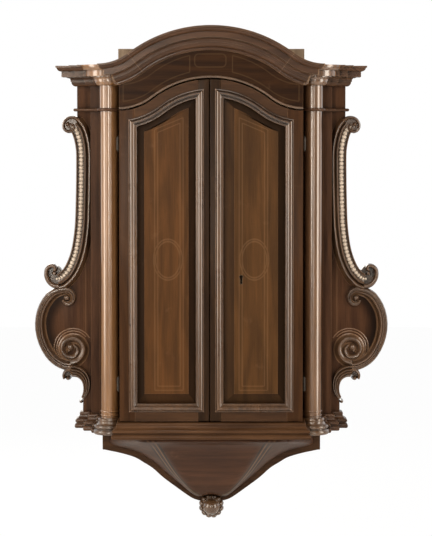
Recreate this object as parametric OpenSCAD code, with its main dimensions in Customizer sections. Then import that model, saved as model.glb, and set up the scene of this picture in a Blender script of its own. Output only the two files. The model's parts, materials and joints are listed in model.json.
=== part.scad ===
// Hanging cabinet with an arched pediment, two panelled doors, side columns and scrolled wings.
// The back lies in the plane y = 0 against the wall, the front faces -Y and +Z is up.
// The origin is midway between the two wall-fixing holes, on the back.

/* [Case] */
// Width of the case between its outer side faces
case_w = 354; // [300:1:420]
// Depth of the case from the wall to the face of the doors
case_d = 173; // [150:1:210]
// Thickness of the case sides
side_t = 14; // [10:1:20]
// Distance of the case sides' top below the level cornice's top
side_drop = 7; // [4:1:12]
// Thickness of the top and bottom boards of the case
deck_t = 14; // [10:1:20]
// Thickness of the back board
back_t = 14; // [10:1:20]
// Distance that the back board reaches past each side of the case
back_lap = 9; // [4:1:20]
// Height of the back board above the wall-fixing holes
back_rise = 28; // [18:1:40]
// Thickness of a shelf
shelf_t = 12; // [8:1:18]
// Number of shelves between the bottom and the top
shelf_count = 2; // [1:1:3]
// Width of a shelf batten, seen from the front
batten_w = 10; // [6:1:16]
// Height of a shelf batten
batten_h = 14; // [8:1:24]
// Distance that a shelf stays behind the doors
shelf_setback = 16; // [14:1:40]

/* [Heights] */
// Height of the underside of the level cornice below the wall-fixing holes
cornice_drop = 47; // [40:1:60]
// Height of the columns' drums, from the neck band to the cornice
drum_h = 44; // [38:1:52]
// Height of the neck band
neck_h = 6; // [4:1:9]
// Height of the shafts, from the base to the neck band
shaft_h = 602; // [560:1:660]
// Height of the base moulding
base_h = 32; // [26:1:36]

/* [Wall fixing] */
// Distance between the two wall-fixing holes
hole_gap = 300; // [240:1:320]
// Diameter of a wall-fixing hole
hole_d = 8; // [5:0.5:10]

/* [Pediment] */
// Rise of the arched cornice above the level cornice
pediment_rise = 73; // [60:1:82]
// Radius of the crown of the arched cornice, along its top edge
pediment_crown_r = 262; // [240:1:280]
// Height of the bead under the arched cornice
astragal_h = 6; // [4:1:8]
// Width of the joint between two lengths of a moulding
joint = 0.03; // [0.02:0.01:0.1]

/* [Doors] */
// Thickness of the door frames
door_t = 20; // [17:1:24]
// Rise of the arch over the doors
arch_rise = 60.5; // [50:0.5:66]
// Radius of the crown of the door arch
arch_crown_r = 185; // [165:1:210]
// Height from the neck band's top to the ends of the door arch, negative below it
arch_lift = -2.5; // [-4:0.5:4]
// Gap between the two doors
meeting_gap = 1.2; // [0.8:0.1:3]
// Distance of the meeting line left of the middle
meeting_shift = 3; // [0:0.5:6]
// Gap under the doors
door_gap = 2; // [1.5:0.5:4]
// Gap between the doors and the arch over them
arch_gap = 3; // [2.5:0.5:5]
// Width of a hinge stile
hinge_stile_w = 30; // [26:1:36]
// Width of a meeting stile
meeting_stile_w = 22; // [19:1:28]
// Width of the top and bottom rails
rail_w = 30; // [26:1:36]
// Width of the frame covered by the moulding
moulding_lap = 12; // [9:1:14]
// Clearance between the moulding's lip and the frame
moulding_play = 0.3; // [0.2:0.05:0.6]
// Width of the raised moulding round a panel
moulding_w = 16; // [13:1:20]
// Height of that moulding over the frame
moulding_h = 7; // [4:1:10]
// Thickness of a door panel at its edge
panel_edge_t = 6; // [5:1:8]
// Distance of the panel's back from the back of the frame
panel_back = 3; // [2:0.5:5]
// Thickness of a door panel at its raised field
panel_t = 13; // [10:1:15]
// Width of the sloped border round a field
bevel_w = 14; // [11:1:18]
// Width of that border below the field
bevel_bottom_w = 19; // [14:1:24]
// Width of that border beside the keyhole
bevel_lock_w = 21; // [14:1:26]
// Height of the step round the raised field
field_step = 1.5; // [0.8:0.1:2.5]
// Depth of the groove that holds a panel's edge
groove_depth = 7; // [5:0.5:9]

/* [Hinges] */
// Diameter of a hinge knuckle
knuckle_d = 6; // [5:0.5:8]
// Length of a hinge, over its three knuckles
hinge_len = 24; // [18:1:32]
// Diameter of a hinge pin
pin_d = 3; // [2:0.5:4]
// Distance of the knuckles from the case side
knuckle_off = 0.2; // [0.1:0.05:0.5]
// Clearance round a hinge pin
pin_play = 0.05; // [0.02:0.01:0.1]
// Gap between two knuckles
knuckle_gap = 0.3; // [0.2:0.1:0.6]
// Thickness of a hinge leaf
leaf_t = 1.4; // [1:0.1:2]
// Width of a hinge leaf
leaf_w = 13; // [10:1:16]
// Height of the upper hinges below the neck band
hinge_top_drop = 63; // [40:1:120]
// Height of the lower hinges above the base
hinge_low_rise = 72; // [50:1:140]
// Gap between the closed doors and the case sides
door_seat = 0.4; // [0.2:0.1:0.8]

/* [Lock] */
// Height of the keyhole above the base
keyhole_rise = 277; // [200:1:400]
// Distance of the keyhole from the doors' meeting line
keyhole_inset = 61; // [50:1:70]
// Width of the round part of the keyhole
keyhole_w = 6.5; // [5:0.5:9]
// Height of the keyhole
keyhole_h = 17; // [12:1:22]
// Distance that the lock case reaches past the keyhole
lock_past = 16; // [12:1:24]
// Height of the lock case
lock_h = 66; // [50:1:80]
// Depth of the lock case behind the door
lock_t = 12; // [9:1:16]
// Width of the lock bolt, from below to above
bolt_h = 14; // [10:1:20]
// Thickness of the lock bolt
bolt_t = 4; // [3:0.5:6]
// Distance that the lock bolt slides
bolt_throw = 9; // [6:0.5:10]
// Width of the keeper that the bolt enters
keeper_w = 18; // [14:1:24]
// Clearance round the lock bolt
bolt_play = 0.2; // [0.1:0.05:0.4]

/* [Columns] */
// Radius of a column's shaft
shaft_r = 17.6; // [14:0.1:20]
// Distance of a column's axis from the case side
column_off = 22; // [18:1:26]
// Distance of a column's axis behind the face of the doors
column_set = 70; // [55:1:85]
// Radius of the drum over the neck band
drum_r = 19; // [16:0.5:22]
// Distance from the case side to the inner edge of the outer step behind a column
step_c_w = 44; // [40:1:50]
// Width of that outer step
step_b_w = 18; // [12:1:26]
// Distance of that outer step's face from the wall
step_b_d = 58; // [40:1:70]

/* [Wings] */
// Thickness of the wing boards
wing_t = 22; // [16:1:28]
// Distance from the outer step to a wing's edge beside the frieze
wing_top_w = 29; // [22:1:36]
// Distance from the outer step to a wing's edge at the base
wing_low_w = 19; // [14:1:26]
// Height of the scroll bands over the face of the wing boards
scroll_lift = 5; // [3:0.5:8]
// Height of a scroll's ridges over its band
ridge_lift = 5; // [3:0.5:8]
// Distance of the upper scroll's ridge from the outer step, where it starts
ridge_off = 2.5; // [1:0.5:6]
// Distance of that start below the neck band
ridge_drop = 88; // [70:1:110]
// Height of the leaf's tip over the base
leaf_clear = 23.5; // [15:0.5:40]
// Radius of the eyes in the upper scroll's ends
scroll_eye_r = 5.5; // [4:0.5:6]
// Radius of the eye in the whorl of the lower scroll
whorl_eye_r = 9.5; // [7:0.5:10]
// Radius of the bud under the upper scroll
bud_r = 10; // [8:0.5:12]
// Radius of the hook beside the leaf
hook_r = 9.5; // [8:0.5:11]
// Radius of the ball at the leaf's tip
tip_r = 3.8; // [3:0.1:5]
// Width of the upper scroll's band
upper_band_w = 27; // [23:0.5:29]
// Width of the lower scroll's band
lower_band_w = 14.5; // [12:0.5:18]
// Diameter of a bead in the beaded channel
bead_d = 8; // [6:0.5:9]
// Distance from one bead to the next
bead_pitch = 7.7; // [6.5:0.1:10]
// Least distance of the first and last bead from the ends of the channel
bead_margin = 9; // [8:0.5:14]

/* [Mouldings] */
// Projection of the cornice
cornice_p = 40; // [34:1:46]
// Height of the cornice
cornice_h = 40; // [36:1:46]
// Projection of the base moulding
base_p = 16; // [12:1:20]
// Projection of the neck band
neck_p = 7; // [5:0.5:9]

/* [Console] */
// Half the width of the console's back plate
console_half_w = 219; // [200:1:232]
// Thickness of the console's back plate
plate_t = 22; // [16:1:28]
// Height of the console's back plate at its ends
plate_end_h = 46; // [34:1:54]
// Fall of the back plate's lower edge from its ends to its point
console_fall = 103; // [85:1:110]
// Distance that the console's body lies above that edge
body_inset = 9; // [5:1:12]
// Depth of the console under the base
console_d = 154; // [130:1:160]
// Rise of the console's front edge over its edge at the wall
console_lift = 29; // [10:1:34]
// Share of its width at the wall that the console has in front
front_share = 0.6; // [0.5:0.01:0.7]
// Depth of the recess over the console's ledge
console_step = 10; // [6:1:14]
// Half the width of the ledge on top of the console's front
ledge_half_w = 150; // [140:1:160]
// Distance of that ledge under the base
ledge_drop = 10; // [6:1:14]
// Depth of the console at its point
console_tip_d = 46; // [38:1:60]
// Radius of the rosette
rosette_r = 26.5; // [20:0.5:28]
// Distance of the rosette's centre under the console's point
rosette_drop = 9.5; // [6:0.5:12]
// Number of lobes round the rosette
lobe_count = 12; // [8:1:16]
// Thickness of the rosette
rosette_t = 16; // [10:1:22]
// Radius of the ball on the rosette
ball_r = 17; // [13:0.5:20]

/* [Hidden] */
$fn = 64;

// How far a cut runs past the edge of what it cuts
beyond = 80;

// Levels, measured up from the wall-fixing holes
cornice_z = -cornice_drop;
cornice_top = cornice_z + cornice_h;
neck_top = cornice_z - drum_h;
neck_z = neck_top - neck_h;
base_top = neck_z - shaft_h;
base_z = base_top - base_h;
plate_z = base_z - plate_end_h;
point_z = plate_z - console_fall;
side_top = cornice_top - side_drop;
crown_z = cornice_top + pediment_rise;

// Planes and columns
half_w = case_w / 2;
inner_half = half_w - side_t;
face_y = -case_d;
door_back = face_y + door_t;
column_x = half_w + column_off;
column_y = case_d - column_set;
step_c_x = half_w + step_c_w;
step_b_x = step_c_x + step_b_w;
step_c_d = column_y - shaft_r + 1;
wing_top_x = step_b_x + wing_top_w;
wing_low_x = step_b_x + wing_low_w;
seam_x = half_w + back_lap;

// Arches: half the span of the pediment reaches its corner mitre
pediment_span = half_w + cornice_p;
arch_z = neck_top + arch_lift;
door_z = base_top + door_gap;

// Doors
left_edge = -meeting_shift - meeting_gap / 2;
right_edge = -meeting_shift + meeting_gap / 2;
hinge_x = half_w + knuckle_d / 2 + knuckle_off;
hinge_zs = [neck_z - hinge_top_drop, base_top + hinge_low_rise];
keyhole_x = -meeting_shift + keyhole_inset;
keyhole_z = base_top + keyhole_rise;
lock_w = keyhole_x - right_edge + lock_past;

wood = [0.36, 0.23, 0.14];
dark = [0.27, 0.18, 0.12];
warm = [0.55, 0.36, 0.2];
plain = [0.5, 0.43, 0.36];
iron = [0.2, 0.19, 0.18];
brass = [0.7, 0.56, 0.3];

// Points of an arc from a to b that bulges by sag to the left of the way, without a itself
function bow(a, b, sag, n = 6) =
    let (d = b - a, half = norm(d) / 2, r = (half * half + sag * sag) / (2 * abs(sag)),
        s = sign(sag), left = [-d[1], d[0]] / norm(d), c = (a + b) / 2 + left * s * (abs(sag) - r),
        turn = 2 * asin(min(1, half / r)), t0 = atan2(a[1] - c[1], a[0] - c[0]))
    [for (i = [1:n]) c + r * [cos(t0 - s * turn * i / n), sin(t0 - s * turn * i / n)]];

// Right half of an ogee curve from its crown to its end, moved inwards by off
function foot_r(span, rise, crown_r) = (span * span + rise * rise) / (2 * rise) - crown_r;
function ogee_half(span, rise, crown_r, top, off, n = 14) =
    let (f = foot_r(span, rise, crown_r), turn = asin(span / (crown_r + f)))
    concat([for (i = [0:n]) let (a = turn * i / n)
            [(crown_r - off) * sin(a), top - crown_r + (crown_r - off) * cos(a)]],
        [for (i = [1:n]) let (a = turn * (1 - i / n))
            [span - (f + off) * sin(a), top - rise + f - (f + off) * cos(a)]]);
function ogee(span, rise, crown_r, top, off) =
    let (right = ogee_half(span, rise, crown_r, top, off))
    concat([for (i = [len(right) - 1:-1:1]) [-right[i][0], right[i][1]]], right);

// Smooth curve through hand-chosen points
function spline(p, n = 5) =
    [for (i = [0:len(p) - 2], k = [0:n - 1])
        let (a = p[max(i - 1, 0)], b = p[i], c = p[i + 1], d = p[min(i + 2, len(p) - 1)], t = k / n)
        0.5 * (2 * b + (c - a) * t + (2 * a - 5 * b + 4 * c - d) * t * t
            + (3 * b - a - 3 * c + d) * t * t * t), p[len(p) - 1]];

// Path of arcs: each leg is [radius, turn], a turn to the left is positive
function leg_end(at, heading, leg) =
    let (s = sign(leg[1]), c = at + s * leg[0] * [-sin(heading), cos(heading)], h = heading + leg[1])
    c - s * leg[0] * [-sin(h), cos(h)];
function leg_points(at, heading, leg, n) =
    let (s = sign(leg[1]), c = at + s * leg[0] * [-sin(heading), cos(heading)])
    [for (i = [1:n]) let (h = heading + leg[1] * i / n) c - s * leg[0] * [-sin(h), cos(h)]];
function path(at, heading, legs, i = 0) = i >= len(legs) ? [] :
    concat(leg_points(at, heading, legs[i], max(2, ceil(abs(legs[i][1]) / 9))),
        path(leg_end(at, heading, legs[i]), heading + legs[i][1], legs, i + 1));
function side_line(p, off) = [for (i = [0:len(p) - 1])
    let (d = p[min(i + 1, len(p) - 1)] - p[max(i - 1, 0)]) p[i] + off[i] * [-d[1], d[0]] / norm(d)];
function even(p, v) = [for (i = [0:len(p) - 1]) v];
function taper(p, a, b) = [for (i = [0:len(p) - 1]) a + (b - a) * i / (len(p) - 1)];
function reversed(p) = [for (i = [len(p) - 1:-1:0]) p[i]];
function lengths(p, i = 0, sum = 0) = i >= len(p) ? [] :
    let (s = i == 0 ? 0 : sum + norm(p[i] - p[i - 1])) concat([s], lengths(p, i + 1, s));
function point_at(p, run, s) =
    let (i = max([for (k = [0:len(p) - 2]) run[k] <= s ? k : 0]))
    p[i] + (p[i + 1] - p[i]) * (s - run[i]) / (run[i + 1] - run[i]);

// Profiles, each point is [projection, height above the moulding's foot]
function cornice_profile() = let (p = cornice_p / 40, h = cornice_h / 40) [for (q = concat(
    [[0, 0], [5, 0]], bow([5, 0], [10.5, 9], -1.6), [[12, 9], [12, 12]], bow([12, 12], [18.5, 16.5], 1.6),
    [[19.5, 16.5], [19.5, 18], [28.8, 18], [28.8, 29], [31, 29]], bow([31, 29], [38, 36.5], -1.8),
    [[40, 36.5], [40, 40], [0, 40]])) [q[0] * p, q[1] * h]];
function base_profile() = let (p = base_p / 16, h = base_h / 31) [for (q = concat(
    [[0, 0], [13.5, 0]], bow([13.5, 0], [13.5, 9], -2.4), [[11.5, 9], [11.5, 12], [13.5, 12]],
    bow([13.5, 12], [13.5, 17], -1), [[12, 17], [12, 18]], bow([12, 18], [6, 26], 2),
    bow([6, 26], [4, 31], -1.2, 4), [[0, 31]])) [q[0] * p, q[1] * h]];
function neck_profile() = let (flat = neck_p - neck_h / 2)
    concat([[0, 0], [flat, 0]], bow([flat, 0], [flat, neck_h], -neck_h / 2, 8), [[0, neck_h]]);

// A box corner with the profile on its front and its right side, and on its left where asked
module moulded_block(x0, x1, y0, depth, z, profile, both = false) {
    reach = 60;
    left = both ? x0 - reach : x0;
    intersection() {
        translate([left, 0, z]) rotate([90, 0, 90]) linear_extrude(x1 + reach - left)
            polygon(concat([[-y0, 0]], [for (q = profile) [-depth - q[0], q[1]]],
                [[-y0, profile[len(profile) - 1][1]]]));
        translate([0, -y0, z]) rotate([90, 0, 0]) linear_extrude(depth - y0 + reach)
            polygon(concat([[left, 0]], [for (q = profile) [x1 + q[0], q[1]]],
                [[left, profile[len(profile) - 1][1]]]));
        if (both) translate([0, -y0, z]) rotate([90, 0, 0]) linear_extrude(depth - y0 + reach)
            polygon(concat([[x1 + reach, 0]], [for (q = profile) [x0 - q[0], q[1]]],
                [[x1 + reach, profile[len(profile) - 1][1]]]));
    }
}

// A ring or drum turned with the profile round a column
module turned(profile, r, z) {
    translate([column_x, -column_y, z]) rotate_extrude()
        polygon(concat([[0, 0]], [for (q = profile) [r + q[0], q[1]]],
            [[0, profile[len(profile) - 1][1]]]));
}

// A flat board in the XZ plane, from y = -near forwards to y = -far
module board(points, near, far) {
    translate([0, -near, 0]) rotate([90, 0, 0]) linear_extrude(far - near) polygon(points);
}
module slab(x0, x1, near, far, z0, z1) {
    translate([x0, -far, z0]) cube([x1 - x0, far - near, z1 - z0]);
}
module both_sides(right) {
    mirror([right ? 0 : 1, 0, 0]) children();
}

// One arc of a moulding bent along an ogee: the crown (0), the right foot (1) or the left one (-1).
// Its section is drawn as [height, projection] from the curve.
module ogee_arc(part, span, rise, crown_r, top, face, section) {
    f = foot_r(span, rise, crown_r);
    slit = joint / f * 180 / PI;
    turn = asin(span / (crown_r + f));
    if (part == 0) translate([0, -face, top - crown_r]) rotate([90, 0, 0]) rotate([0, 0, 90 - turn])
        rotate_extrude(angle = 2 * turn, $fn = 160) polygon([for (q = section) [crown_r + q[0], q[1]]]);
    else mirror([part < 0 ? 1 : 0, 0, 0])
        translate([span, -face, top - rise + f]) rotate([90, 0, 0]) rotate([0, 0, 270 - turn])
            rotate([0, 0, slit]) rotate_extrude(angle = turn - slit, $fn = 160)
                polygon([for (q = section) [f - q[0], q[1]]]);
}

// Case
module back_board() {
    color(plain) difference() {
        slab(-seam_x, seam_x, 0, back_t, base_z, back_rise);
        for (s = [-1, 1]) translate([s * hole_gap / 2, 1, 0]) rotate([90, 0, 0])
            cylinder(d = hole_d, h = back_t + 2);
    }
}
module side_board(right) {
    color(wood) both_sides(right) difference() {
        slab(inner_half, half_w, back_t, -door_back - door_seat, base_z, side_top);
        for (z = hinge_zs) leaf_pocket(z, -door_back - door_seat - leaf_w, -door_back);
    }
}
module leaf_pocket(z, near, far) {
    slab(half_w - leaf_t, half_w + 1, near, far + 1, z - hinge_len / 2, z + hinge_len / 2);
}
module case_top() {
    color(plain) slab(-inner_half, inner_half, back_t, -door_back, side_top - deck_t, side_top);
}
module case_bottom() {
    color(plain) slab(-inner_half, inner_half, back_t, -door_back, base_top - deck_t, base_top);
}
function shelf_zs() = let (low = base_top, high = neck_z)
    [for (i = [1:shelf_count]) low + (high - low) * i / (shelf_count + 1)];
module shelves() {
    for (z = shelf_zs()) color(plain)
        slab(-inner_half, inner_half, back_t, -door_back - shelf_setback, z, z + shelf_t);
}
module shelf_battens() {
    for (z = shelf_zs(), s = [0, 1]) color(plain) mirror([s, 0, 0])
        slab(inner_half - batten_w, inner_half, back_t, -door_back - shelf_setback - 10, z - batten_h, z);
}

// Frieze and pediment
module frieze_board() {
    upper = ogee(pediment_span, pediment_rise, pediment_crown_r, crown_z, 3);
    lower = ogee(half_w, arch_rise, arch_crown_r, arch_z + arch_rise, 0);
    color(dark) intersection() {
        board(concat(upper, reversed(lower)), -door_back, case_d);
        slab(-half_w, half_w, -door_back, case_d, neck_z, crown_z);
    }
}
module arch_bead() {
    section = concat([[0, 0]], [for (q = bow([0, 0], [4.5, 0], 2.2, 6)) [q[0], max(0, q[1])]]);
    color(warm) for (part = [-1:1])
        ogee_arc(part, half_w, arch_rise, arch_crown_r, arch_z + arch_rise, case_d, section);
}
module pediment_cornice() {
    upper = cornice_profile();
    profile = concat([[0, -astragal_h]], bow([0, -astragal_h], [3, 0], -1.5, 4),
        [for (i = [1:len(upper) - 1]) upper[i]]);
    section = [for (q = profile) [q[1] - cornice_h, q[0]]];
    reach = cornice_p + 20;
    color(dark) {
        for (part = [-1:1]) intersection() {
            ogee_arc(part, pediment_span, pediment_rise, pediment_crown_r, crown_z, case_d, section);
            translate([0, 0, cornice_z - 20]) linear_extrude(crown_z - cornice_z + 40)
                polygon([[-half_w, -case_d], [half_w, -case_d], [half_w + reach, -case_d - reach],
                    [-half_w - reach, -case_d - reach]]);
        }
        for (s = [0, 1]) mirror([s, 0, 0]) difference() {
            intersection() {
                moulded_block(half_w, half_w, step_b_d - 2, case_d, cornice_z, cornice_profile());
                translate([0, 0, cornice_z]) linear_extrude(cornice_h)
                    polygon([[half_w, 0], [half_w + reach, 0], [half_w + reach, joint - case_d - reach],
                        [half_w, joint - case_d]]);
            }
            column_side_solids();
        }
    }
}
// What stands beside the case at the cornice, for cutting the returns back to it
module column_side_solids() {
    slab(half_w - 1, step_c_x + 1, -1, step_c_d, cornice_z - 1, cornice_top + 1);
    moulded_block(half_w - 1, step_c_x, 0, step_c_d, cornice_z, cornice_profile());
    turned(cornice_profile(), shaft_r, cornice_z);
}

// Wings, backing steps and what wraps round them
module column_backing(right) {
    color(dark) both_sides(right) {
        slab(half_w, step_c_x, wing_t, step_c_d, base_z, cornice_top);
        slab(step_c_x, step_b_x, wing_t, step_b_d, base_z, cornice_top);
    }
}
module backing_space() {
    slab(half_w - 1, step_c_x, -1, step_c_d, base_z - 1, cornice_top + 1);
    slab(half_w - 1, step_b_x, -1, step_b_d, base_z - 1, cornice_top + 1);
}
module wrap(profile, z) {
    moulded_block(half_w, step_c_x, 0, step_c_d, z, profile);
    moulded_block(half_w, step_b_x, 0, step_b_d, z, profile);
}
module cornice(right) {
    color(wood) both_sides(right) difference() {
        union() {
            wrap(cornice_profile(), cornice_z);
            moulded_block(half_w, wing_top_x, 0, wing_t, cornice_z, cornice_profile());
        }
        backing_space();
        slab(half_w - 1, wing_top_x, -1, wing_t, cornice_z - 1, cornice_top + 1);
    }
}
module column_cornice(right) {
    color(wood) both_sides(right) difference() {
        turned(cornice_profile(), shaft_r, cornice_z);
        slab(0, half_w, 0, case_d + cornice_p, cornice_z - 1, cornice_top + 1);
        backing_space();
        slab(half_w - 1, wing_top_x, -1, wing_t, cornice_z - 1, cornice_top + 1);
        wrap(cornice_profile(), cornice_z);
    }
}
module column_drum(right) {
    color(warm) both_sides(right) difference() {
        translate([column_x, -column_y, neck_top]) cylinder(r = drum_r, h = drum_h);
        backing_space();
    }
}
module neck_band(right) {
    color(dark) both_sides(right) difference() {
        union() {
            wrap(neck_profile(), neck_z);
            moulded_block(half_w, wing_top_x, 0, wing_t, neck_z, neck_profile());
            turned(neck_profile(), shaft_r, neck_z);
        }
        backing_space();
        slab(0, half_w, 0, case_d + cornice_p, neck_z - 1, neck_top + 1);
        slab(half_w - 1, wing_top_x, -1, wing_t, neck_z - 1, neck_top + 1);
    }
}
module column(right) {
    ring_r = 1.4;
    ring_rises = [5, 13];
    color(warm) both_sides(right) difference() {
        union() {
            translate([column_x, -column_y, base_top]) cylinder(r = shaft_r, h = shaft_h);
            for (rise = ring_rises) translate([column_x, -column_y, base_top + rise])
                rotate_extrude() translate([shaft_r, 0]) circle(r = ring_r, $fn = 24);
        }
        backing_space();
    }
}
module base(right) {
    color(wood) both_sides(right) difference() {
        union() {
            wrap(base_profile(), base_z);
            moulded_block(half_w, wing_low_x, 0, wing_t, base_z, base_profile());
        }
        backing_space();
        slab(half_w - 1, wing_low_x, -1, wing_t, base_z - 1, base_top + 1);
    }
}
module column_base(right) {
    color(wood) both_sides(right) difference() {
        turned(base_profile(), shaft_r, base_z);
        slab(0, half_w, 0, case_d + cornice_p, base_z - 1, base_top + 1);
        backing_space();
        wrap(base_profile(), base_z);
        slab(half_w - 1, wing_low_x, -1, wing_t, base_z - 1, base_top + 1);
    }
}
module base_front() {
    color(dark) difference() {
        moulded_block(-half_w, half_w, step_c_d - 2, case_d, base_z, base_profile(), true);
        slab(-half_w, half_w, 0, -door_back, base_z - 1, base_top + 1);
        for (s = [0, 1]) mirror([s, 0, 0]) {
            slab(half_w, half_w + beyond, 0, step_c_d, base_z - 1, base_top + 1);
            wrap(base_profile(), base_z);
            turned(base_profile(), shaft_r, base_z);
        }
    }
}

// Carved wings: the ridge of the upper scroll runs up and down from a point beside the column
ridge_start = [step_b_x + ridge_off, neck_z - ridge_drop];
upper_up = [[156, -18], [58, -27]];
upper_volute = [[21, -45], [18, -90], [13, -90]];
slow_turn = 2;
upper_bend = [[440, 8], [175, 17], [80, 25], [34, 30]];
curl_legs = [[24, 52], [32, 56], [16, 76], [9, 100]];
lower_legs = [[34, -34], [78, -40], [100, -36], [56, -30], [40, -25]];
lower_tip = [6, 9, 13];
whorl_legs = [[29, -90], [25, -90], [23, -90], [20, -90], [15, -90]];
leaf_legs = [[36, 85], [46, 50]];
lower_off = [-1, -10];
leaf_off = [-3, -3];

function heading_after(heading, legs, i = 0) = i >= len(legs) ? heading : heading_after(heading + legs[i][1], legs, i + 1);
function last(p) = p[len(p) - 1];
// The ridge runs down almost straight as far as lets the leaf end over the base
bend_end = last(path([0, 0], 270 + slow_turn, upper_bend));
lower_turn = last(path(bend_end + lower_off, -15, lower_legs));
upper_run = ridge_start[1] + last(path(lower_turn + leaf_off, 180, leaf_legs))[1] - base_top - leaf_clear;
upper_down = concat([[upper_run * 180 / PI / slow_turn, slow_turn]], upper_bend);

up_path = path(ridge_start, 90, upper_up);
down_path = path(ridge_start, 270, upper_down);
upper_path = concat(reversed(up_path), [ridge_start], down_path);
up_end = last(up_path);
volute = concat([up_end], path(up_end, heading_after(90, upper_up), upper_volute));
volute_eye = up_end + [17, -13];
upper_end = last(down_path);
curl = concat([upper_end], path(upper_end, heading_after(270, upper_down), curl_legs),
    [last(side_line(upper_path, even(upper_path, upper_band_w)))]);
curl_eye = upper_end + [11, 30.5];
lower_start = upper_end + lower_off;
lower_path = concat([lower_start], path(lower_start, -15, lower_legs));
lower_widths = concat(lower_tip, [for (i = [len(lower_tip):len(lower_path) - 1]) lower_band_w]);
lower_end = last(lower_path);
whorl_path = concat([lower_end], path(lower_end, heading_after(-15, lower_legs), whorl_legs));
leaf_start = lower_end + leaf_off;
leaf_path = concat([leaf_start], path(leaf_start, 180, leaf_legs));
leaf_end = last(leaf_path);
leaf_widths = taper(leaf_path, 24, 6);

// A band between two offsets of a path, standing on the plane y = -near
module band(p, off_a, off_b, near, far) {
    board(concat(side_line(p, off_a), reversed(side_line(p, off_b))), near, far);
}
module wing_board(right) {
    outline = concat([[seam_x, cornice_top], [wing_top_x, cornice_top], [wing_top_x, up_end[1] + 1]],
        upper_path, lower_path, leaf_path, [[wing_low_x, leaf_end[1] - 6], [wing_low_x, base_z],
        [seam_x, base_z]]);
    color(wood) both_sides(right) difference() {
        board(outline, 0, wing_t);
        board(volute, -1, wing_t + 1);
    }
}
band_face = wing_t + scroll_lift;
ridge_face = band_face + ridge_lift;
module eye(centre, r, near, far) {
    translate([centre[0], -near, centre[1]]) rotate([90, 0, 0]) cylinder(r = r, h = far - near);
}
module upper_scroll(right) {
    color(wood) both_sides(right) {
        band(upper_path, even(upper_path, 0), even(upper_path, upper_band_w), 0, band_face);
        board(volute, 0, band_face);
        board(curl, 0, band_face);
        band(upper_path, even(upper_path, -2), even(upper_path, 5), wing_t, ridge_face);
        band(upper_path, even(upper_path, 9), even(upper_path, 11.5), band_face, ridge_face - 2);
        band(upper_path, even(upper_path, upper_band_w - 3.5), even(upper_path, upper_band_w),
            band_face, ridge_face - 1);
        eye(volute_eye, scroll_eye_r, band_face, ridge_face + 1);
        eye(curl_eye, scroll_eye_r, band_face, ridge_face + 1);
    }
}
module beads(right) {
    line = side_line(upper_path, even(upper_path, upper_band_w - 8.6));
    run = lengths(line);
    total = run[len(run) - 1];
    count = floor((total - 2 * bead_margin) / bead_pitch);
    color(warm) both_sides(right) for (i = [0:count]) let (p = point_at(line, run,
            (total - count * bead_pitch) / 2 + i * bead_pitch))
        translate([p[0], -band_face, p[1]]) rotate([90, 0, 0]) difference() {
            sphere(d = bead_d, $fn = 24);
            translate([-bead_d, -bead_d, -bead_d]) cube([2 * bead_d, 2 * bead_d, bead_d]);
        }
}
module lower_scroll(right) {
    bud = lower_start + [-15, -9];
    whorl_eye = lower_end + [1, 35];
    color(wood) both_sides(right) {
        band(lower_path, even(lower_path, 0), lower_widths, 0, band_face);
        band(lower_path, even(lower_path, -2), even(lower_path, 4), wing_t, ridge_face);
        band(lower_path, lower_widths - even(lower_path, 3), lower_widths, band_face, ridge_face - 1);
        band(whorl_path, even(whorl_path, 1), even(whorl_path, -4), wing_t, ridge_face);
        eye(whorl_eye, whorl_eye_r, wing_t, ridge_face + 1);
        difference() {
            eye(bud, bud_r, wing_t, ridge_face);
            difference() {
                eye(bud, 0.7 * bud_r, band_face, ridge_face + 1);
                eye(bud, 0.35 * bud_r, band_face - 1, ridge_face + 2);
            }
        }
    }
}
module leaf_scroll(right) {
    hook = leaf_start + [9.5, -23];
    tip = leaf_end + [6, -4.5];
    color(wood) both_sides(right) {
        board(concat(leaf_path, reversed(side_line(leaf_path, leaf_widths))), 0, band_face);
        band(leaf_path, even(leaf_path, -1), even(leaf_path, 5), wing_t, ridge_face);
        board([leaf_end, last(side_line(leaf_path, leaf_widths)), tip + [3.5, 2], tip + [-1.5, -3]], 0, band_face);
        eye(tip, tip_r, 0, band_face);
        difference() {
            union() {
                eye(hook, hook_r, 0, band_face);
                board([leaf_start + [-1, -0.5], leaf_start + [3, -0.5], hook + [1.5, hook_r],
                    hook + [1.5, -hook_r], leaf_start + [-1, -24]], 0, band_face);
            }
            band(lower_path, even(lower_path, -1), lower_widths, -1, band_face + 1);
        }
    }
}

// Console and finial
console_points = [[215, 0], [181, -7], [154, -15], [136, -25], [118, -36], [97, -54], [72, -72],
    [41, -93], [25, -99]];
console_edge = [for (q = spline(console_points, 4))
    [q[0] * console_half_w / 219, plate_z + q[1] * console_fall / 99]];
rosette_z = point_z - rosette_drop;
console_top_rise = 14;
module console_plate() {
    half = concat([[console_half_w, base_z], [console_half_w, plate_z]], console_edge);
    color(wood) board(concat(half, [for (q = reversed(half)) [-q[0], q[1]]]), 0, plate_t);
}
// Rings of the console's body: half widths at the wall and in front, depth, heights at the wall and in front
function console_rings() = let (tip = last(console_edge)[0], wide = console_edge[0][0],
        in = console_step, lip = in / 10, recess = [wide - in - 2, ledge_half_w - in, console_d - in])
    concat([[each recess, base_z, base_z], [each recess, base_z - ledge_drop + lip, base_z - ledge_drop + lip],
        [wide - in + 2, ledge_half_w, console_d, base_z - ledge_drop, base_z - ledge_drop]],
    [for (q = console_edge) let (share = (q[0] - tip) / (wide - tip), z = q[1] + body_inset)
        [q[0] - 4 * share, front_share * q[0] + body_inset, console_tip_d + (console_d - console_tip_d - 6)
            * share, z, z + (share == 1 ? ledge_drop + console_top_rise : console_lift * front_rise(share))]]);
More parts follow.
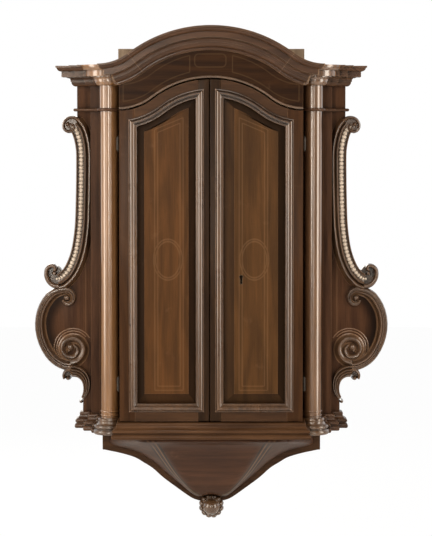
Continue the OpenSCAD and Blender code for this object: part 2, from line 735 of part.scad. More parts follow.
// Share of its whole rise that the front edge has at a share of the console's half width
function front_rise(share) = max(0, min(1, (share - 0.1) / 0.55));
module console_body() {
    rings = console_rings();
    n = len(rings);
    points = [for (r = rings) each [[-r[0], -plate_t, r[3]], [r[0], -plate_t, r[3]],
        [r[1], -r[2], r[4]], [-r[1], -r[2], r[4]]]];
    sides = [for (i = [0:n - 2], k = [0:3]) let (a = 4 * i + k, b = 4 * i + (k + 1) % 4)
        each [[a, a + 4, b], [b, a + 4, b + 4]]];
    color(wood) difference() {
        polyhedron(concat([for (p = points) p]), concat([[0, 1, 2, 3]], sides,
            [[4 * n - 1, 4 * n - 2, 4 * n - 3, 4 * n - 4]]), convexity = 4);
        translate([0, 1 - plate_t, rosette_z]) rotate([90, 0, 0]) cylinder(r = rosette_r + 0.5, h = beyond);
    }
}
module rosette() {
    notch = rosette_r * 0.1;
    color(dark) translate([0, -plate_t, rosette_z]) rotate([90, 0, 0]) {
        linear_extrude(rosette_t - 3) polygon([for (i = [0:lobe_count * 8 - 1]) let (turn = i * 45 / lobe_count,
            r = rosette_r - notch * (1 - abs(sin(turn * lobe_count / 2)))) r * [cos(turn), sin(turn)]]);
        translate([0, 0, 1]) cylinder(r = rosette_r - 2 * notch, h = rosette_t - 1);
    }
}
module finial_ball() {
    color(warm) translate([0, -plate_t - rosette_t, rosette_z]) rotate([90, 0, 0]) difference() {
        sphere(r = ball_r);
        translate([-2 * ball_r, -2 * ball_r, -2 * ball_r]) cube([4 * ball_r, 4 * ball_r, 2 * ball_r]);
    }
}

// Doors, drawn as the right one; m is the place of the meeting edge
panel_near = case_d - door_t + panel_back;
tongue_far = panel_near + panel_edge_t;
field_far = panel_near + panel_t;
door_depth = case_d - door_t;
inner_meeting = meeting_stile_w - moulding_lap + moulding_w;
inner_hinge = hinge_stile_w - moulding_lap + moulding_w;
inner_rail = rail_w - moulding_lap + moulding_w;
function meeting_edge(right) = right ? right_edge : -left_edge;
function door_line(x, off) = let (f = foot_r(half_w, arch_rise, arch_crown_r), o = off + arch_gap,
        turn = asin(half_w / (arch_crown_r + f)), top = arch_z + arch_rise)
    abs(x) < (arch_crown_r - o) * sin(turn) ? top - arch_crown_r + sqrt(pow(arch_crown_r - o, 2) - x * x)
        : top - arch_rise + f - sqrt(pow(f + o, 2) - pow(half_w - abs(x), 2));

// The door's outline, inset from its meeting edge, hinge edge, bottom and arch
module door_part(m, at_meeting, at_hinge, at_bottom, at_arch, near, far) {
    translate([0, -near, 0]) rotate([90, 0, 0]) linear_extrude(far - near) intersection() {
        polygon(concat(ogee(half_w, arch_rise, arch_crown_r, arch_z + arch_rise, arch_gap + at_arch),
            [[half_w, door_z], [-half_w, door_z]]));
        translate([m + at_meeting, door_z + at_bottom])
            square([half_w - at_hinge - m - at_meeting, shaft_h + 2 * arch_rise]);
    }
}
module door_frame(m) {
    difference() {
        door_part(m, 0, 0, 0, 0, door_depth, case_d);
        door_part(m, meeting_stile_w, hinge_stile_w, rail_w, rail_w, door_depth - 1, case_d + 1);
        panel_tongue(m);
    }
}
module panel_tongue(m) {
    door_part(m, meeting_stile_w - groove_depth, hinge_stile_w - groove_depth, rail_w - groove_depth,
        rail_w - groove_depth, panel_near, tongue_far);
}
module hinge_stile(right) {
    m = meeting_edge(right);
    color(dark) both_sides(right) difference() {
        intersection() {
            door_frame(m);
            slab(half_w - hinge_stile_w, half_w, door_depth - 1, case_d + 1, door_z, crown_z);
        }
        for (z = hinge_zs) leaf_pocket(z, door_depth, door_depth + leaf_w);
    }
}
module meeting_stile(right) {
    m = meeting_edge(right);
    color(dark) both_sides(right) intersection() {
        door_frame(m);
        slab(m, m + meeting_stile_w, door_depth - 1, case_d + 1, door_z, crown_z);
    }
}
module rails(right) {
    m = meeting_edge(right);
    color(dark) both_sides(right) intersection() {
        door_frame(m);
        slab(m + meeting_stile_w, half_w - hinge_stile_w, door_depth - 1, case_d + 1, door_z, crown_z);
    }
}
// Outline of the raised field, drawn round from the arch's end at the meeting side; inset by its bevels
function field_line(m, share, lock_side) = let (x0 = m + inner_meeting + share * lock_side,
        x1 = half_w - inner_hinge - share * bevel_w, z0 = door_z + inner_rail + share * bevel_bottom_w)
    concat([for (i = [0:arch_steps]) let (x = x0 + (x1 - x0) * i / arch_steps)
        [x, door_line(x, inner_rail + share * bevel_w)]], [[x1, z0], [x0, z0]]);
module panel(right) {
    m = meeting_edge(right);
    lock_side = right ? bevel_lock_w : bevel_w;
    low = field_line(m, 0, lock_side);
    high = field_line(m, 1, lock_side);
    n = len(low);
    color(warm) both_sides(right) difference() {
        union() {
            panel_tongue(m);
            polyhedron(concat([for (q = low) [q[0], -panel_near - 1, q[1]]], [for (q = low) [q[0], -tongue_far
                - field_step, q[1]]], [for (q = high) [q[0], field_step - field_far, q[1]]],
                [for (q = high) [q[0], -field_far, q[1]]]),
                concat([[for (i = [0:n - 1]) n - 1 - i]], [[for (i = [0:n - 1]) 3 * n + i]],
                [for (k = [0:2], i = [0:n - 1]) let (j = (i + 1) % n, a = k * n)
                    each [[a + i, a + j, a + n + i], [a + j, a + n + j, a + n + i]]]), convexity = 4);
        }
        if (right) keyhole(liner_t, panel_near - 1, case_d);
    }
}
arch_steps = 16;
liner_t = 0.8;
module keyhole(grow, near, far) {
    translate([keyhole_x, -near, keyhole_z]) rotate([90, 0, 0]) linear_extrude(far - near) {
        translate([0, (keyhole_h - keyhole_w) / 2]) circle(d = keyhole_w + 2 * grow);
        translate([-keyhole_w * 0.28 - grow, -keyhole_h / 2 - grow])
            square([keyhole_w * 0.56 + 2 * grow, keyhole_h - keyhole_w / 2 + grow]);
    }
}
module keyhole_liner() {
    color(brass) difference() {
        keyhole(liner_t, panel_near, field_far + 0.3);
        keyhole(0, panel_near - 1, field_far + 2);
    }
}

// Raised moulding round a panel: its section runs from the outer edge to the inner one
function moulding_section() = let (lip = case_d - tongue_far, w = moulding_w / 16, h = moulding_h / 7)
    concat([[0, 0], [0, 1.4 * h]], bow([0, 1.4 * h], [2.8 * w, 2 * h], 0.7, 4), [[2.8 * w, 3 * h]],
    bow([2.8 * w, 3 * h], [11.5 * w, 4.2 * h], 3.4 * h, 8), [[11.5 * w, 3 * h]],
    bow([11.5 * w, 3 * h], [moulding_w, 0], -1.1, 4), [[moulding_w, -lip],
    [moulding_lap + moulding_play, -lip], [moulding_lap + moulding_play, 0]]);
module panel_moulding(right) {
    m = meeting_edge(right);
    x0 = m + meeting_stile_w - moulding_lap;
    x1 = half_w - hinge_stile_w + moulding_lap;
    z0 = door_z + rail_w - moulding_lap;
    off = rail_w - moulding_lap;
    w = moulding_w;
    section = moulding_section();
    ends = [[x0, door_line(x0, off)], [x0 + w, door_line(x0 + w, off + w)],
        [x1, door_line(x1, off)], [x1 - w, door_line(x1 - w, off + w)]];
    slit = [0, 2 * joint];
    color(wood) both_sides(right) {
        intersection() {
            translate([x0, -case_d, z0]) linear_extrude(shaft_h + arch_rise)
                polygon([for (q = section) [q[0], -q[1]]]);
            board([[x0, z0 + joint], [x0 + w, z0 + w + joint], ends[1] - slit, ends[0] - slit],
                door_depth, case_d + 20);
        }
        intersection() {
            translate([x1, -case_d, z0]) linear_extrude(shaft_h + arch_rise)
                polygon([for (q = section) [-q[0], -q[1]]]);
            board([[x1, z0 + joint], [x1 - w, z0 + w + joint], ends[3] - slit, ends[2] - slit],
                door_depth, case_d + 20);
        }
        intersection() {
            translate([x0, -case_d, z0]) rotate([90, 0, 90]) linear_extrude(x1 - x0)
                polygon([for (q = section) [-q[1], q[0]]]);
            board([[x0, z0], [x1, z0], [x1 - w, z0 + w], [x0 + w, z0 + w]], door_depth, case_d + 20);
        }
        for (part = [0, 1]) intersection() {
            ogee_arc(part, half_w, arch_rise, arch_crown_r, arch_z + arch_rise, case_d,
                [for (q = section) [-arch_gap - off - q[0], q[1]]]);
            board([ends[0], ends[1], [x0 + w + 2, ends[3][1] - 30], [x1 - w - 2, ends[3][1] - 30],
                ends[3], ends[2], [x1, crown_z], [x0, crown_z]], door_depth, case_d + 20);
        }
    }
}

// Hinges: the middle knuckle is on the case, the outer two are on the door
hinge_depth = door_depth - door_seat / 2;
knuckle_len = (hinge_len - 2 * knuckle_gap) / 3;
module knuckle(z, k, near, far) {
    low = z - hinge_len / 2 + k * (knuckle_len + knuckle_gap);
    difference() {
        union() {
            translate([hinge_x, -hinge_depth, low]) cylinder(d = knuckle_d, h = knuckle_len);
            slab(half_w - leaf_t, hinge_x, near, far, low, low + knuckle_len);
        }
        translate([hinge_x, -hinge_depth, low - 1]) cylinder(d = pin_d + 2 * pin_play, h = knuckle_len + 2);
    }
}
module hinge_case_leaves() {
    far = door_depth - door_seat;
    color(iron) for (s = [0, 1], z = hinge_zs) mirror([s, 0, 0]) {
        slab(half_w - leaf_t, half_w, far - leaf_w, far, z - hinge_len / 2, z + hinge_len / 2);
        knuckle(z, 1, far - leaf_t, far);
    }
}
module door_leaves(right) {
    color(iron) both_sides(right) for (z = hinge_zs) {
        slab(half_w - leaf_t, half_w, door_depth, door_depth + leaf_w, z - hinge_len / 2,
            z + hinge_len / 2);
        for (k = [0, 2]) knuckle(z, k, door_depth, door_depth + leaf_t);
    }
}
module hinge_pins() {
    tip = 3;
    color(iron) for (s = [0, 1], z = hinge_zs) mirror([s, 0, 0]) translate([hinge_x, -hinge_depth, z]) {
        translate([0, 0, -hinge_len / 2 - 0.2]) cylinder(d = pin_d, h = hinge_len + 0.4);
        for (up = [0, 1]) mirror([0, 0, up]) translate([0, 0, hinge_len / 2 + 0.2])
            cylinder(d1 = knuckle_d - 1, d2 = 1.5, h = tip);
    }
}

// Lock on the back of the right door, and the keeper that its bolt enters on the left one
bolt_near = door_depth - lock_t / 2 - bolt_t / 2;
bolt_z = keyhole_z - bolt_h / 2 + 4;
bolt_tip = right_edge + 0.5 + bolt_throw;
bolt_len = lock_w - bolt_throw - lock_past / 4;
module bolt_space(x0, x1, play) {
    slab(x0, x1, bolt_near - play, bolt_near + bolt_t + play, bolt_z - play, bolt_z + bolt_h + play);
}
module lock_case() {
    color(iron) difference() {
        slab(right_edge + 1, right_edge + lock_w, door_depth - lock_t, door_depth,
            keyhole_z - lock_h / 2, keyhole_z + lock_h / 2);
        bolt_space(right_edge, bolt_tip + bolt_len + 1, bolt_play);
        keyhole(0, door_depth - lock_t + 2, door_depth + 1);
    }
}
module lock_bolt() {
    color(brass) bolt_space(bolt_tip, bolt_tip + bolt_len, 0);
}
module bolt_keeper() {
    wall = 3;
    color(iron) difference() {
        slab(left_edge - keeper_w, left_edge - 1, door_depth - lock_t, door_depth,
            bolt_z - 2 * wall, bolt_z + bolt_h + 2 * wall);
        bolt_space(left_edge - keeper_w + wall, left_edge, 1);
    }
}

back_board();
side_board(false);  // side_board_left
side_board(true);  // side_board_right
case_top();
case_bottom();
shelves();
shelf_battens();
frieze_board();
arch_bead();
pediment_cornice();
wing_board(false);  // wing_board_left
wing_board(true);  // wing_board_right
column_backing(false);  // column_backing_left
column_backing(true);  // column_backing_right
cornice(false);  // cornice_left
cornice(true);  // cornice_right
column_cornice(false);  // column_cornice_left
column_cornice(true);  // column_cornice_right
column_drum(false);  // column_drum_left
column_drum(true);  // column_drum_right
neck_band(false);  // neck_band_left
neck_band(true);  // neck_band_right
column(false);  // column_left
column(true);  // column_right
base(false);  // base_left
base(true);  // base_right
column_base(false);  // column_base_left
column_base(true);  // column_base_right
base_front();
upper_scroll(false);  // upper_scroll_left
upper_scroll(true);  // upper_scroll_right
beads(false);  // beads_left
beads(true);  // beads_right
lower_scroll(false);  // lower_scroll_left
lower_scroll(true);  // lower_scroll_right
leaf_scroll(false);  // leaf_scroll_left
leaf_scroll(true);  // leaf_scroll_right
console_plate();
console_body();
rosette();
finial_ball();
hinge_case_leaves();
hinge_pins();
hinge_stile(false);  // left_hinge_stile
meeting_stile(false);  // left_meeting_stile
rails(false);  // left_rails
panel(false);  // left_panel
panel_moulding(false);  // left_moulding
door_leaves(false);  // left_door_leaves
hinge_stile(true);  // right_hinge_stile
meeting_stile(true);  // right_meeting_stile
rails(true);  // right_rails
panel(true);  // right_panel
panel_moulding(true);  // right_moulding
door_leaves(true);  // right_door_leaves
lock_case();
lock_bolt();
keyhole_liner();
bolt_keeper();
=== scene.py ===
"""Hanging cabinet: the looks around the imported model.

Lengths are in metres, or in mm where a comment says so. The wall is y = 0 and the front faces -Y.
"""
import json
import math

import bpy
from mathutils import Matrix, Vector

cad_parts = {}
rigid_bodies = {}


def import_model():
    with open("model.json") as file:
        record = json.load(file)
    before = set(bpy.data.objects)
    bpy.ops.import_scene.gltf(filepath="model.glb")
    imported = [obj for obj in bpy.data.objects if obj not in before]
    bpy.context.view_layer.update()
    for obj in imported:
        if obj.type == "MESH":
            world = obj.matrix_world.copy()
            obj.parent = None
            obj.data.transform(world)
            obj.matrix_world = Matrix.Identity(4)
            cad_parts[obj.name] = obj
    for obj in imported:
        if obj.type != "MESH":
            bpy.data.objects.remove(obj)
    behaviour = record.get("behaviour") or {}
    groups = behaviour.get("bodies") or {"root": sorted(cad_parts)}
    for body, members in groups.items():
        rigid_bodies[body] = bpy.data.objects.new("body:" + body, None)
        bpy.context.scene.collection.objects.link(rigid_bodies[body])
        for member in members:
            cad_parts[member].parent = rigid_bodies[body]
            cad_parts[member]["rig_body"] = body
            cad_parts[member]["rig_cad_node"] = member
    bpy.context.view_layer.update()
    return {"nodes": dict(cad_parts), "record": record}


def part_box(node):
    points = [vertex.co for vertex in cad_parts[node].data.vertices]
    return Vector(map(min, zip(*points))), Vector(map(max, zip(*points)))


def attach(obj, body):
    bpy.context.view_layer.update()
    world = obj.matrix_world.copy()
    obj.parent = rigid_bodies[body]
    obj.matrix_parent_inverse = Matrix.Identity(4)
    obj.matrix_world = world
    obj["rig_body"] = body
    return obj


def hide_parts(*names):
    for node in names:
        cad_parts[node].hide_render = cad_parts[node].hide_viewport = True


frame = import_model()
nodes = frame["nodes"]

MM = 0.001
MM_PER_METRE = 1000

# Camera: the photograph's frame, the pixels that place it, and the eye's height and distance from the wings
IMAGE_W, IMAGE_H = 432, 536
MM_PER_PIXEL = 2.0
CENTRE_X_PIXEL = 211.3
EYE_LEVEL_PIXEL = 123.0
EYE_LEVEL = -0.120
EYE_DISTANCE = 4.0
WING_FACE = -0.022
SENSOR = 36.0
SHIFT_Y = -0.12
SIGHT = 50


def make_camera():
    focal_pixels = EYE_DISTANCE / (MM_PER_PIXEL * MM)
    drop = IMAGE_H / 2 - EYE_LEVEL_PIXEL + SHIFT_Y * IMAGE_W
    pitch = math.atan(drop / focal_pixels)
    side = (IMAGE_W / 2 - CENTRE_X_PIXEL) * MM_PER_PIXEL * MM
    bpy.ops.object.camera_add(
        location=(side, WING_FACE - EYE_DISTANCE, EYE_LEVEL),
        rotation=(math.pi / 2 - pitch, 0, 0),
    )
    camera = bpy.context.object
    camera.data.sensor_fit = "HORIZONTAL"
    camera.data.sensor_width = SENSOR
    camera.data.lens = SENSOR * focal_pixels / IMAGE_W
    camera.data.shift_y = SHIFT_Y
    camera.data.clip_end = SIGHT
    bpy.context.scene.camera = camera


# Lamps: place, width and height, and watts, all of one warm tint and turned to the middle of the cabinet
AIM = (0, 0, -0.4)
WARM = (1, 0.91, 0.80)
LAMPS = {
    "left_front_box": ((-0.75, -3.6, 0.35), (0.3, 2.0), 50),
    "left_window": ((-2.1, -2.3, 0.3), (0.4, 2.0), 18),
    "left_side_box": ((-2.6, -0.95, 0.1), (1.0, 2.0), 48),
    "right_front_box": ((1.0, -3.6, 0.2), (0.2, 2.0), 21),
    "right_side_box": ((2.6, -1.05, 0.1), (1.0, 2.4), 58),
    "top_box": ((-0.3, -2.2, 2.2), (2.4, 0.8), 26),
    "back_box": ((-0.9, 3.4, 0.6), (1.6, 1.6), 30),
}


def make_light(name, place, size, watts):
    bpy.ops.object.light_add(type="AREA", location=place)
    lamp = bpy.context.object
    lamp.name = name
    lamp.rotation_euler = (Vector(AIM) - Vector(place)).to_track_quat("-Z", "Y").to_euler()
    lamp.data.shape = "RECTANGLE"
    lamp.data.size, lamp.data.size_y = size
    lamp.data.energy = watts
    lamp.data.color = WARM


class Socket:
    """A shader socket, or a plain number, that works in Python expressions."""

    def __init__(self, maker, value):
        self.maker = maker
        self.value = value

    def _math(self, operation, *others):
        return self.maker.node("ShaderNodeMath", {"operation": operation}, [self, *others]).out()

    def __add__(self, other):
        return self._math("ADD", other)

    def __sub__(self, other):
        return self._math("SUBTRACT", other)

    def __rsub__(self, other):
        return Socket(self.maker, other)._math("SUBTRACT", self)

    def __mul__(self, other):
        return self._math("MULTIPLY", other)

    def __truediv__(self, other):
        return self._math("DIVIDE", other)

    __radd__ = __add__
    __rmul__ = __mul__

    def higher(self, other):
        return self._math("MAXIMUM", other)

    def size(self):
        return self._math("ABSOLUTE")

    def sin(self):
        return self._math("SINE")

    def root(self):
        return self._math("SQRT")

    def step(self, low, high):
        """0 below low, 1 above high, smooth between."""
        settings = {"interpolation_type": "SMOOTHSTEP"}
        return self.maker.node("ShaderNodeMapRange", settings, [self, low, high, 0.0, 1.0]).out()


class Node:
    """A shader node whose outputs can be named."""

    def __init__(self, maker, made):
        self.maker = maker
        self.made = made

    def out(self, name=0):
        return Socket(self.maker, self.made.outputs[name])


class Maker:
    """Adds nodes to one material, or to the world."""

    def __init__(self, owner):
        owner.use_nodes = True
        self.owner = owner
        self.tree = owner.node_tree
        self.tree.nodes.clear()

    def node(self, kind, settings=None, inputs=()):
        """A node with its settings, and the values or links of its sockets by number or name."""
        made = self.tree.nodes.new(kind)
        for key, value in (settings or {}).items():
            setattr(made, key, value)
        pairs = inputs.items() if isinstance(inputs, dict) else enumerate(inputs)
        for key, value in pairs:
            self.join(made.inputs[key], value)
        return Node(self, made)

    def join(self, socket, value):
        if isinstance(value, Socket):
            value = value.value
        if isinstance(value, bpy.types.NodeSocket):
            self.tree.links.new(value, socket)
        elif isinstance(value, (tuple, list)) and socket.type == "RGBA" and len(value) == 3:
            socket.default_value = (*value, 1)
        else:
            socket.default_value = value

    def place(self, scale=(1, 1, 1), shift=(0, 0, 0)):
        """Object coordinates, scaled and shifted."""
        coordinates = self.node("ShaderNodeTexCoord").out("Object")
        inputs = {"Vector": coordinates, "Scale": scale, "Location": shift}
        return self.node("ShaderNodeMapping", {}, inputs).out()

    def noise(self, vector, scale, detail=3.0, roughness=0.55, distortion=0.0):
        """Cloudy values round 0.5; scale is in lumps to the metre."""
        inputs = {"Vector": vector, "Scale": scale, "Detail": detail}
        inputs.update({"Roughness": roughness, "Distortion": distortion})
        return self.node("ShaderNodeTexNoise", {}, inputs).out("Fac")

    def corners(self, reach, inside=False):
        """1 on open surface, less in hollow corners, or on sharp edges where inside is set."""
        settings = {"samples": 6, "inside": inside}
        return self.node("ShaderNodeAmbientOcclusion", settings, {"Distance": reach}).out("AO")

    def axes(self, output="Object"):
        """The three coordinates, or those of the way the surface faces."""
        parts = self.node("ShaderNodeSeparateXYZ", {}, [self.node("ShaderNodeTexCoord").out(output)])
        return parts.out("X"), parts.out("Y"), parts.out("Z")

    def mix(self, factor, first, second):
        """The first colour where the factor is 0, the second where it is 1."""
        made = self.node("ShaderNodeMix", {"data_type": "RGBA", "clamp_factor": True})
        sockets = [s for s in made.made.inputs if s.enabled and s.type == "RGBA"]
        self.join(made.made.inputs[0], factor)
        self.join(sockets[0], first)
        self.join(sockets[1], second)
        return Socket(self, next(s for s in made.made.outputs if s.enabled and s.type == "RGBA"))

    def surface(self, values, relief, depth):
        """Finishes a material whose surface stands out by up to depth where relief is 1."""
        bump = self.node("ShaderNodeBump", {}, {"Height": relief, "Distance": depth})
        shader = self.node("ShaderNodeBsdfPrincipled", {}, {**values, "Normal": bump.out()})
        self.node("ShaderNodeOutputMaterial", {}, {0: shader.out()})
        return self.owner


# Wood grain: how far it is drawn out along each axis, and the lumps to the metre of each of its noises
GRAIN_ALONG = {"x": (0.06, 1.0, 1.0), "z": (1.0, 1.0, 0.06)}
SLOW_STRETCH, PORE_STRETCH = 0.92, 0.35
SEED_SHIFT = (3.1, 1.7, 2.3)
FIGURE, RING_WAVER, BANDS, FIBRES, PORES = 9.0, 40.0, 70.0, 420.0, 1500.0
PATCHES, SMEARS, RUBBING, DENTS = 4.0, 14.0, 26.0, 60.0
RINGS = 60.0
# Tones: how much each noise counts, and what is taken off so that their middle lies between dark and light
RING_TONE, BAND_TONE, FIBRE_TONE, PATCH_TONE = 0.10, 0.75, 0.30, 0.3
MIDDLE_TONE = 0.245
PORE_SHARE, PORE_DEPTH = 0.4, 0.35
# Where each mask starts and is full: tone from dark to light, pores, rubbed patches, corners and edges
TONE_SPAN, PORE_SPAN, RUB_SPAN = (0.1, 0.85), (0.6, 0.74), (0.6, 0.82)
CORNER_SPAN, EDGE_SPAN = (0.12, 0.75), (0.25, 0.7)
# Painted shade, dark as old wax, fills corners of this size, in metres, and edges are painted paler this
# far in, for wear and as painted highlight
CORNER_REACH, EDGE_REACH = 0.014, 0.002
WAX_AND_SHADE, WAX_AND_SHADE_DEPTH = 0.75, 0.25
# Pale worn colour, for rubbed patches and for edges painted paler as wear and as painted highlight
WORN_AND_GLINT_WALNUT = (0.36, 0.20, 0.105)
WAX_IOR = 1.45
SMEAR_ROUGHNESS, FIBRE_ROUGHNESS = 0.16, 0.1
WOOD_RELIEF, METAL_RELIEF = 0.00018, 0.0001
# Metal: lumps to the metre of its tarnish, where that starts and is full, and how dark and rough it is
TARNISH, TARNISH_SPAN, TARNISH_DEPTH, TARNISH_ROUGHNESS = 180.0, (0.4, 0.7), 0.6, 0.2


def darker(colour, share):
    return tuple(share * part for part in colour)


def wood(name, dark, light, grain="z", figure=1.0, gloss=0.36, coat=0.05, seed=0.0, worn=WORN_AND_GLINT_WALNUT,
         wear=0.10, paint=None, shine=0.1, edge_wear_and_glint=0.35, polish=0.22):
    """Waxed walnut: long fibres, slow figure, pores, painted shade and dark wax in the corners, and paler
    edges, rubbed and painted with highlight.

    paint is a function that takes the Maker and the colour so far, and adds inlay or shade to it.
    """
    m = Maker(bpy.data.materials.new(name))
    shift = tuple(seed * part for part in SEED_SHIFT)
    stretch = GRAIN_ALONG[grain]
    along = m.place(scale=stretch, shift=shift)
    still = m.place(shift=shift)
    slow_stretch = tuple(1 - SLOW_STRETCH + SLOW_STRETCH * part for part in stretch)
    slow = m.noise(m.place(scale=slow_stretch, shift=shift), FIGURE, 3.0)
    rings = (slow * RINGS + m.noise(along, RING_WAVER, 3.0) * 7.0).sin() * 0.5 + 0.5
    bands = m.noise(along, BANDS, 5.0, 0.65, 0.3)
    fibres = m.noise(along, FIBRES, 3.0, 0.7)
    pore_stretch = tuple(PORE_STRETCH * part if part < 1 else part for part in stretch)
    pores = m.noise(m.place(scale=pore_stretch, shift=shift), PORES, 2.0)
    patches = m.noise(still, PATCHES, 2.0)
    tone = rings * (RING_TONE * figure) + bands * BAND_TONE + fibres * FIBRE_TONE + patches * PATCH_TONE
    tone = tone - MIDDLE_TONE - 0.5 * RING_TONE * figure
    colour = m.mix(tone.step(*TONE_SPAN), dark, light)
    colour = m.mix(pores.step(*PORE_SPAN) * PORE_SHARE, colour, darker(dark, PORE_DEPTH))
    if paint:
        colour = paint(m, colour)
    rub = m.noise(still, RUBBING, 5.0, 0.65)
    colour = m.mix(rub.step(*RUB_SPAN) * wear, colour, worn)
    # Painted shade: occlusion darkens the corners, as dark old wax would
    wax_and_shade_corners = (1 - m.corners(CORNER_REACH)).step(*CORNER_SPAN)
    colour = m.mix(wax_and_shade_corners * WAX_AND_SHADE, colour, darker(dark, WAX_AND_SHADE_DEPTH))
    # Edges painted paler by occlusion from inside: wear, and painted highlight
    worn_and_glinting_edges = (1 - m.corners(EDGE_REACH, inside=True)).step(*EDGE_SPAN) * (rub * 0.8 + 0.4)
    colour = m.mix(worn_and_glinting_edges * edge_wear_and_glint, colour, worn)
    rough = m.noise(still, SMEARS, 4.0, 0.6) * SMEAR_ROUGHNESS + fibres * FIBRE_ROUGHNESS + (gloss - 0.06)
    relief = fibres * 0.5 + pores * 0.3 + m.noise(still, DENTS, 3.0) * 0.6
    values = {
        "Base Color": colour, "Roughness": rough, "Coat Weight": coat, "Coat Roughness": polish,
        "IOR": WAX_IOR, "Specular IOR Level": shine,
    }
    return m.surface(values, relief, WOOD_RELIEF)


def metal(name, tone, rough, metallic):
    """Old metal, spotted with darker tarnish."""
    m = Maker(bpy.data.materials.new(name))
    spots = m.noise(m.place(), TARNISH, 4.0, 0.65)
    colour = m.mix(spots.step(*TARNISH_SPAN), darker(tone, TARNISH_DEPTH), tone)
    values = {"Base Color": colour, "Metallic": metallic, "Roughness": spots * TARNISH_ROUGHNESS + rough}
    return m.surface(values, spots, METAL_RELIEF)


# Inlaid stringing, in mm: thin paler lines let into the doors, the frieze, the wings and the console.
# FAINT is how much of the string's colour shows. Places are across from the middle and up from the origin
STRING = (0.42, 0.25, 0.125)
STRING_W = 1.3
STRING_BLUR = 0.8
END_BLUR = 0.5
FAINT = 0.085
FRIEZE_FAINT = 0.7
CONSOLE_PLAIN = 3
# Doors: near side, far side and foot of each panel line, the start and slope of their tops, and the ovals
FIELD_LINES = ((54, 109, -637), (60, 103, -629))
FIELD_LINE_TOP = (-87, 0.42)
OVAL_AT = (83.5, -383.5)
OVALS = ((28, 39.5), (23.5, 35))
# Frieze: its cartouche, and the ends and heights of its panel lines over the arch, two arcs that meet
CARTOUCHE_AT = (-1.5, 0)
CARTOUCHE = (30, 12.5, 8)
FRIEZE_END_X = (41, 169)
FRIEZE_LINES = (15, 47)
ARCH_HALF, ARCH_RISE, ARCH_CROWN_R, ARCH_TOP = 177, 60.5, 185, -33
ARCH_FOOT_R = (ARCH_HALF ** 2 + ARCH_RISE ** 2) / (2 * ARCH_RISE) - ARCH_CROWN_R
ARCH_JOINT_X = ARCH_CROWN_R * ARCH_HALF / (ARCH_CROWN_R + ARCH_FOOT_R)
# Wings: two upright lines with slanting ends, and the painted shade of the hollow inside the lower scroll
WING_LINES = (241, 252)
WING_LINE_ENDS = (-560, -398)
WING_LINE_SLANT = 1.5
HOLLOW_AT, HOLLOW_SIZE, HOLLOW_ENDS = (270, -527), (70, 82), (-606, -446)
HOLLOW_INSIDE = (264, 294)
# Door mouldings: they lie under the arch above this height, where their sloping faces get painted shade
ARCHED_FROM = -150
# Console: its lines spread from the foot to the top, each at its share of the way to the edge
CONSOLE_LOW, CONSOLE_HIGH = (corner * MM_PER_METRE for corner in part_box("console_body"))
CONSOLE_FOOT, CONSOLE_TOP = CONSOLE_LOW.z + 2, CONSOLE_HIGH.z - 14
CONSOLE_SPREAD = 128
CONSOLE_DARK_LINES = (0.985, 0.91, 0.83)
CONSOLE_PALE_LINES = (0.95, 0.87)
CONSOLE_DARK_W = 2.6
# How squarely a surface faces forwards where a bevel's painted shadow ends, and where the lines of wings
# and console start;
# then the slope of a moulding under the arch that gets painted shade, and the edges of the hollow's painted
# shade and of the console's lines
BEVEL_FACING, WING_FACING, CONSOLE_FACING = (0.972, 0.992), (0.9, 0.95), (0.3, 0.45)
ARCH_SLOPE, HOLLOW_FADE, CONSOLE_FADE = (0.12, 0.3), (0.5, 0.84), (1.0, 1.08)
# Painted shadow on the panel bevels, painted shade in the scroll's hollow and under the arch, and the old
# wax of the console's dark lines: each colour, and how much of the wood it hides
BEVEL_SHADOW, BEVEL_SHADOW_SHARE = (0.010, 0.005, 0.002), 0.8
HOLLOW_SHADE, HOLLOW_SHADE_SHARE = (0.008, 0.0035, 0.0015), 0.88
CONSOLE_WAX, CONSOLE_WAX_SHARE = (0.004, 0.002, 0.001), 0.9
ARCH_SHADE, ARCH_SHADE_SHARE = (0.010, 0.005, 0.0025), 0.85


def string_at(distance, width=STRING_W):
    """1 on a line where the distance, in mm, is nil."""
    return 1 - distance.size().step(0.5 * width, 0.5 * width + STRING_BLUR)


def above(value, limit):
    """1 above the limit, 0 below it."""
    return value.step(limit - END_BLUR, limit + END_BLUR)


def within(value, low, high):
    return above(value, low) * (1 - above(value, high))


def plan(m):
    """Across and up in mm, and how squarely the surface faces forwards."""
    x, _, z = m.axes()
    return x * MM_PER_METRE, z * MM_PER_METRE, m.axes("Normal")[1] * -1


def oval(x, z, half_w, half_h):
    """Nil on the oval, in mm beyond it at its sides."""
    return ((x / half_w) * (x / half_w) + (z / half_h) * (z / half_h)).root() * half_w - half_w


def panel_lines_and_bevel_shadow(m, colour):
    """A door panel: painted shadow on the sloped border, stringing and a double oval on the field."""
    x, z, facing = plan(m)
    across = x.size()
    outer, inner = (string_at(oval(across - OVAL_AT[0], z - OVAL_AT[1], *halves)) for halves in OVALS)
    lines = outer.higher(inner)
    start, slope = FIELD_LINE_TOP
    for near, far, foot in FIELD_LINES:
        head = start - across * slope - (foot - FIELD_LINES[0][2])
        sides = string_at(across - near).higher(string_at(across - far))
        sides = sides * (1 - above(z - head, 0)) * above(z, foot)
        ends = string_at(z - foot).higher(string_at(z - head)) * within(across, near, far)
        lines = lines.higher(sides).higher(ends)
    colour = m.mix(lines * FAINT, colour, STRING)
    # Painted shadow of the moulding on the panel's sloped border
    return m.mix((1 - facing.step(*BEVEL_FACING)) * BEVEL_SHADOW_SHARE, colour, BEVEL_SHADOW)


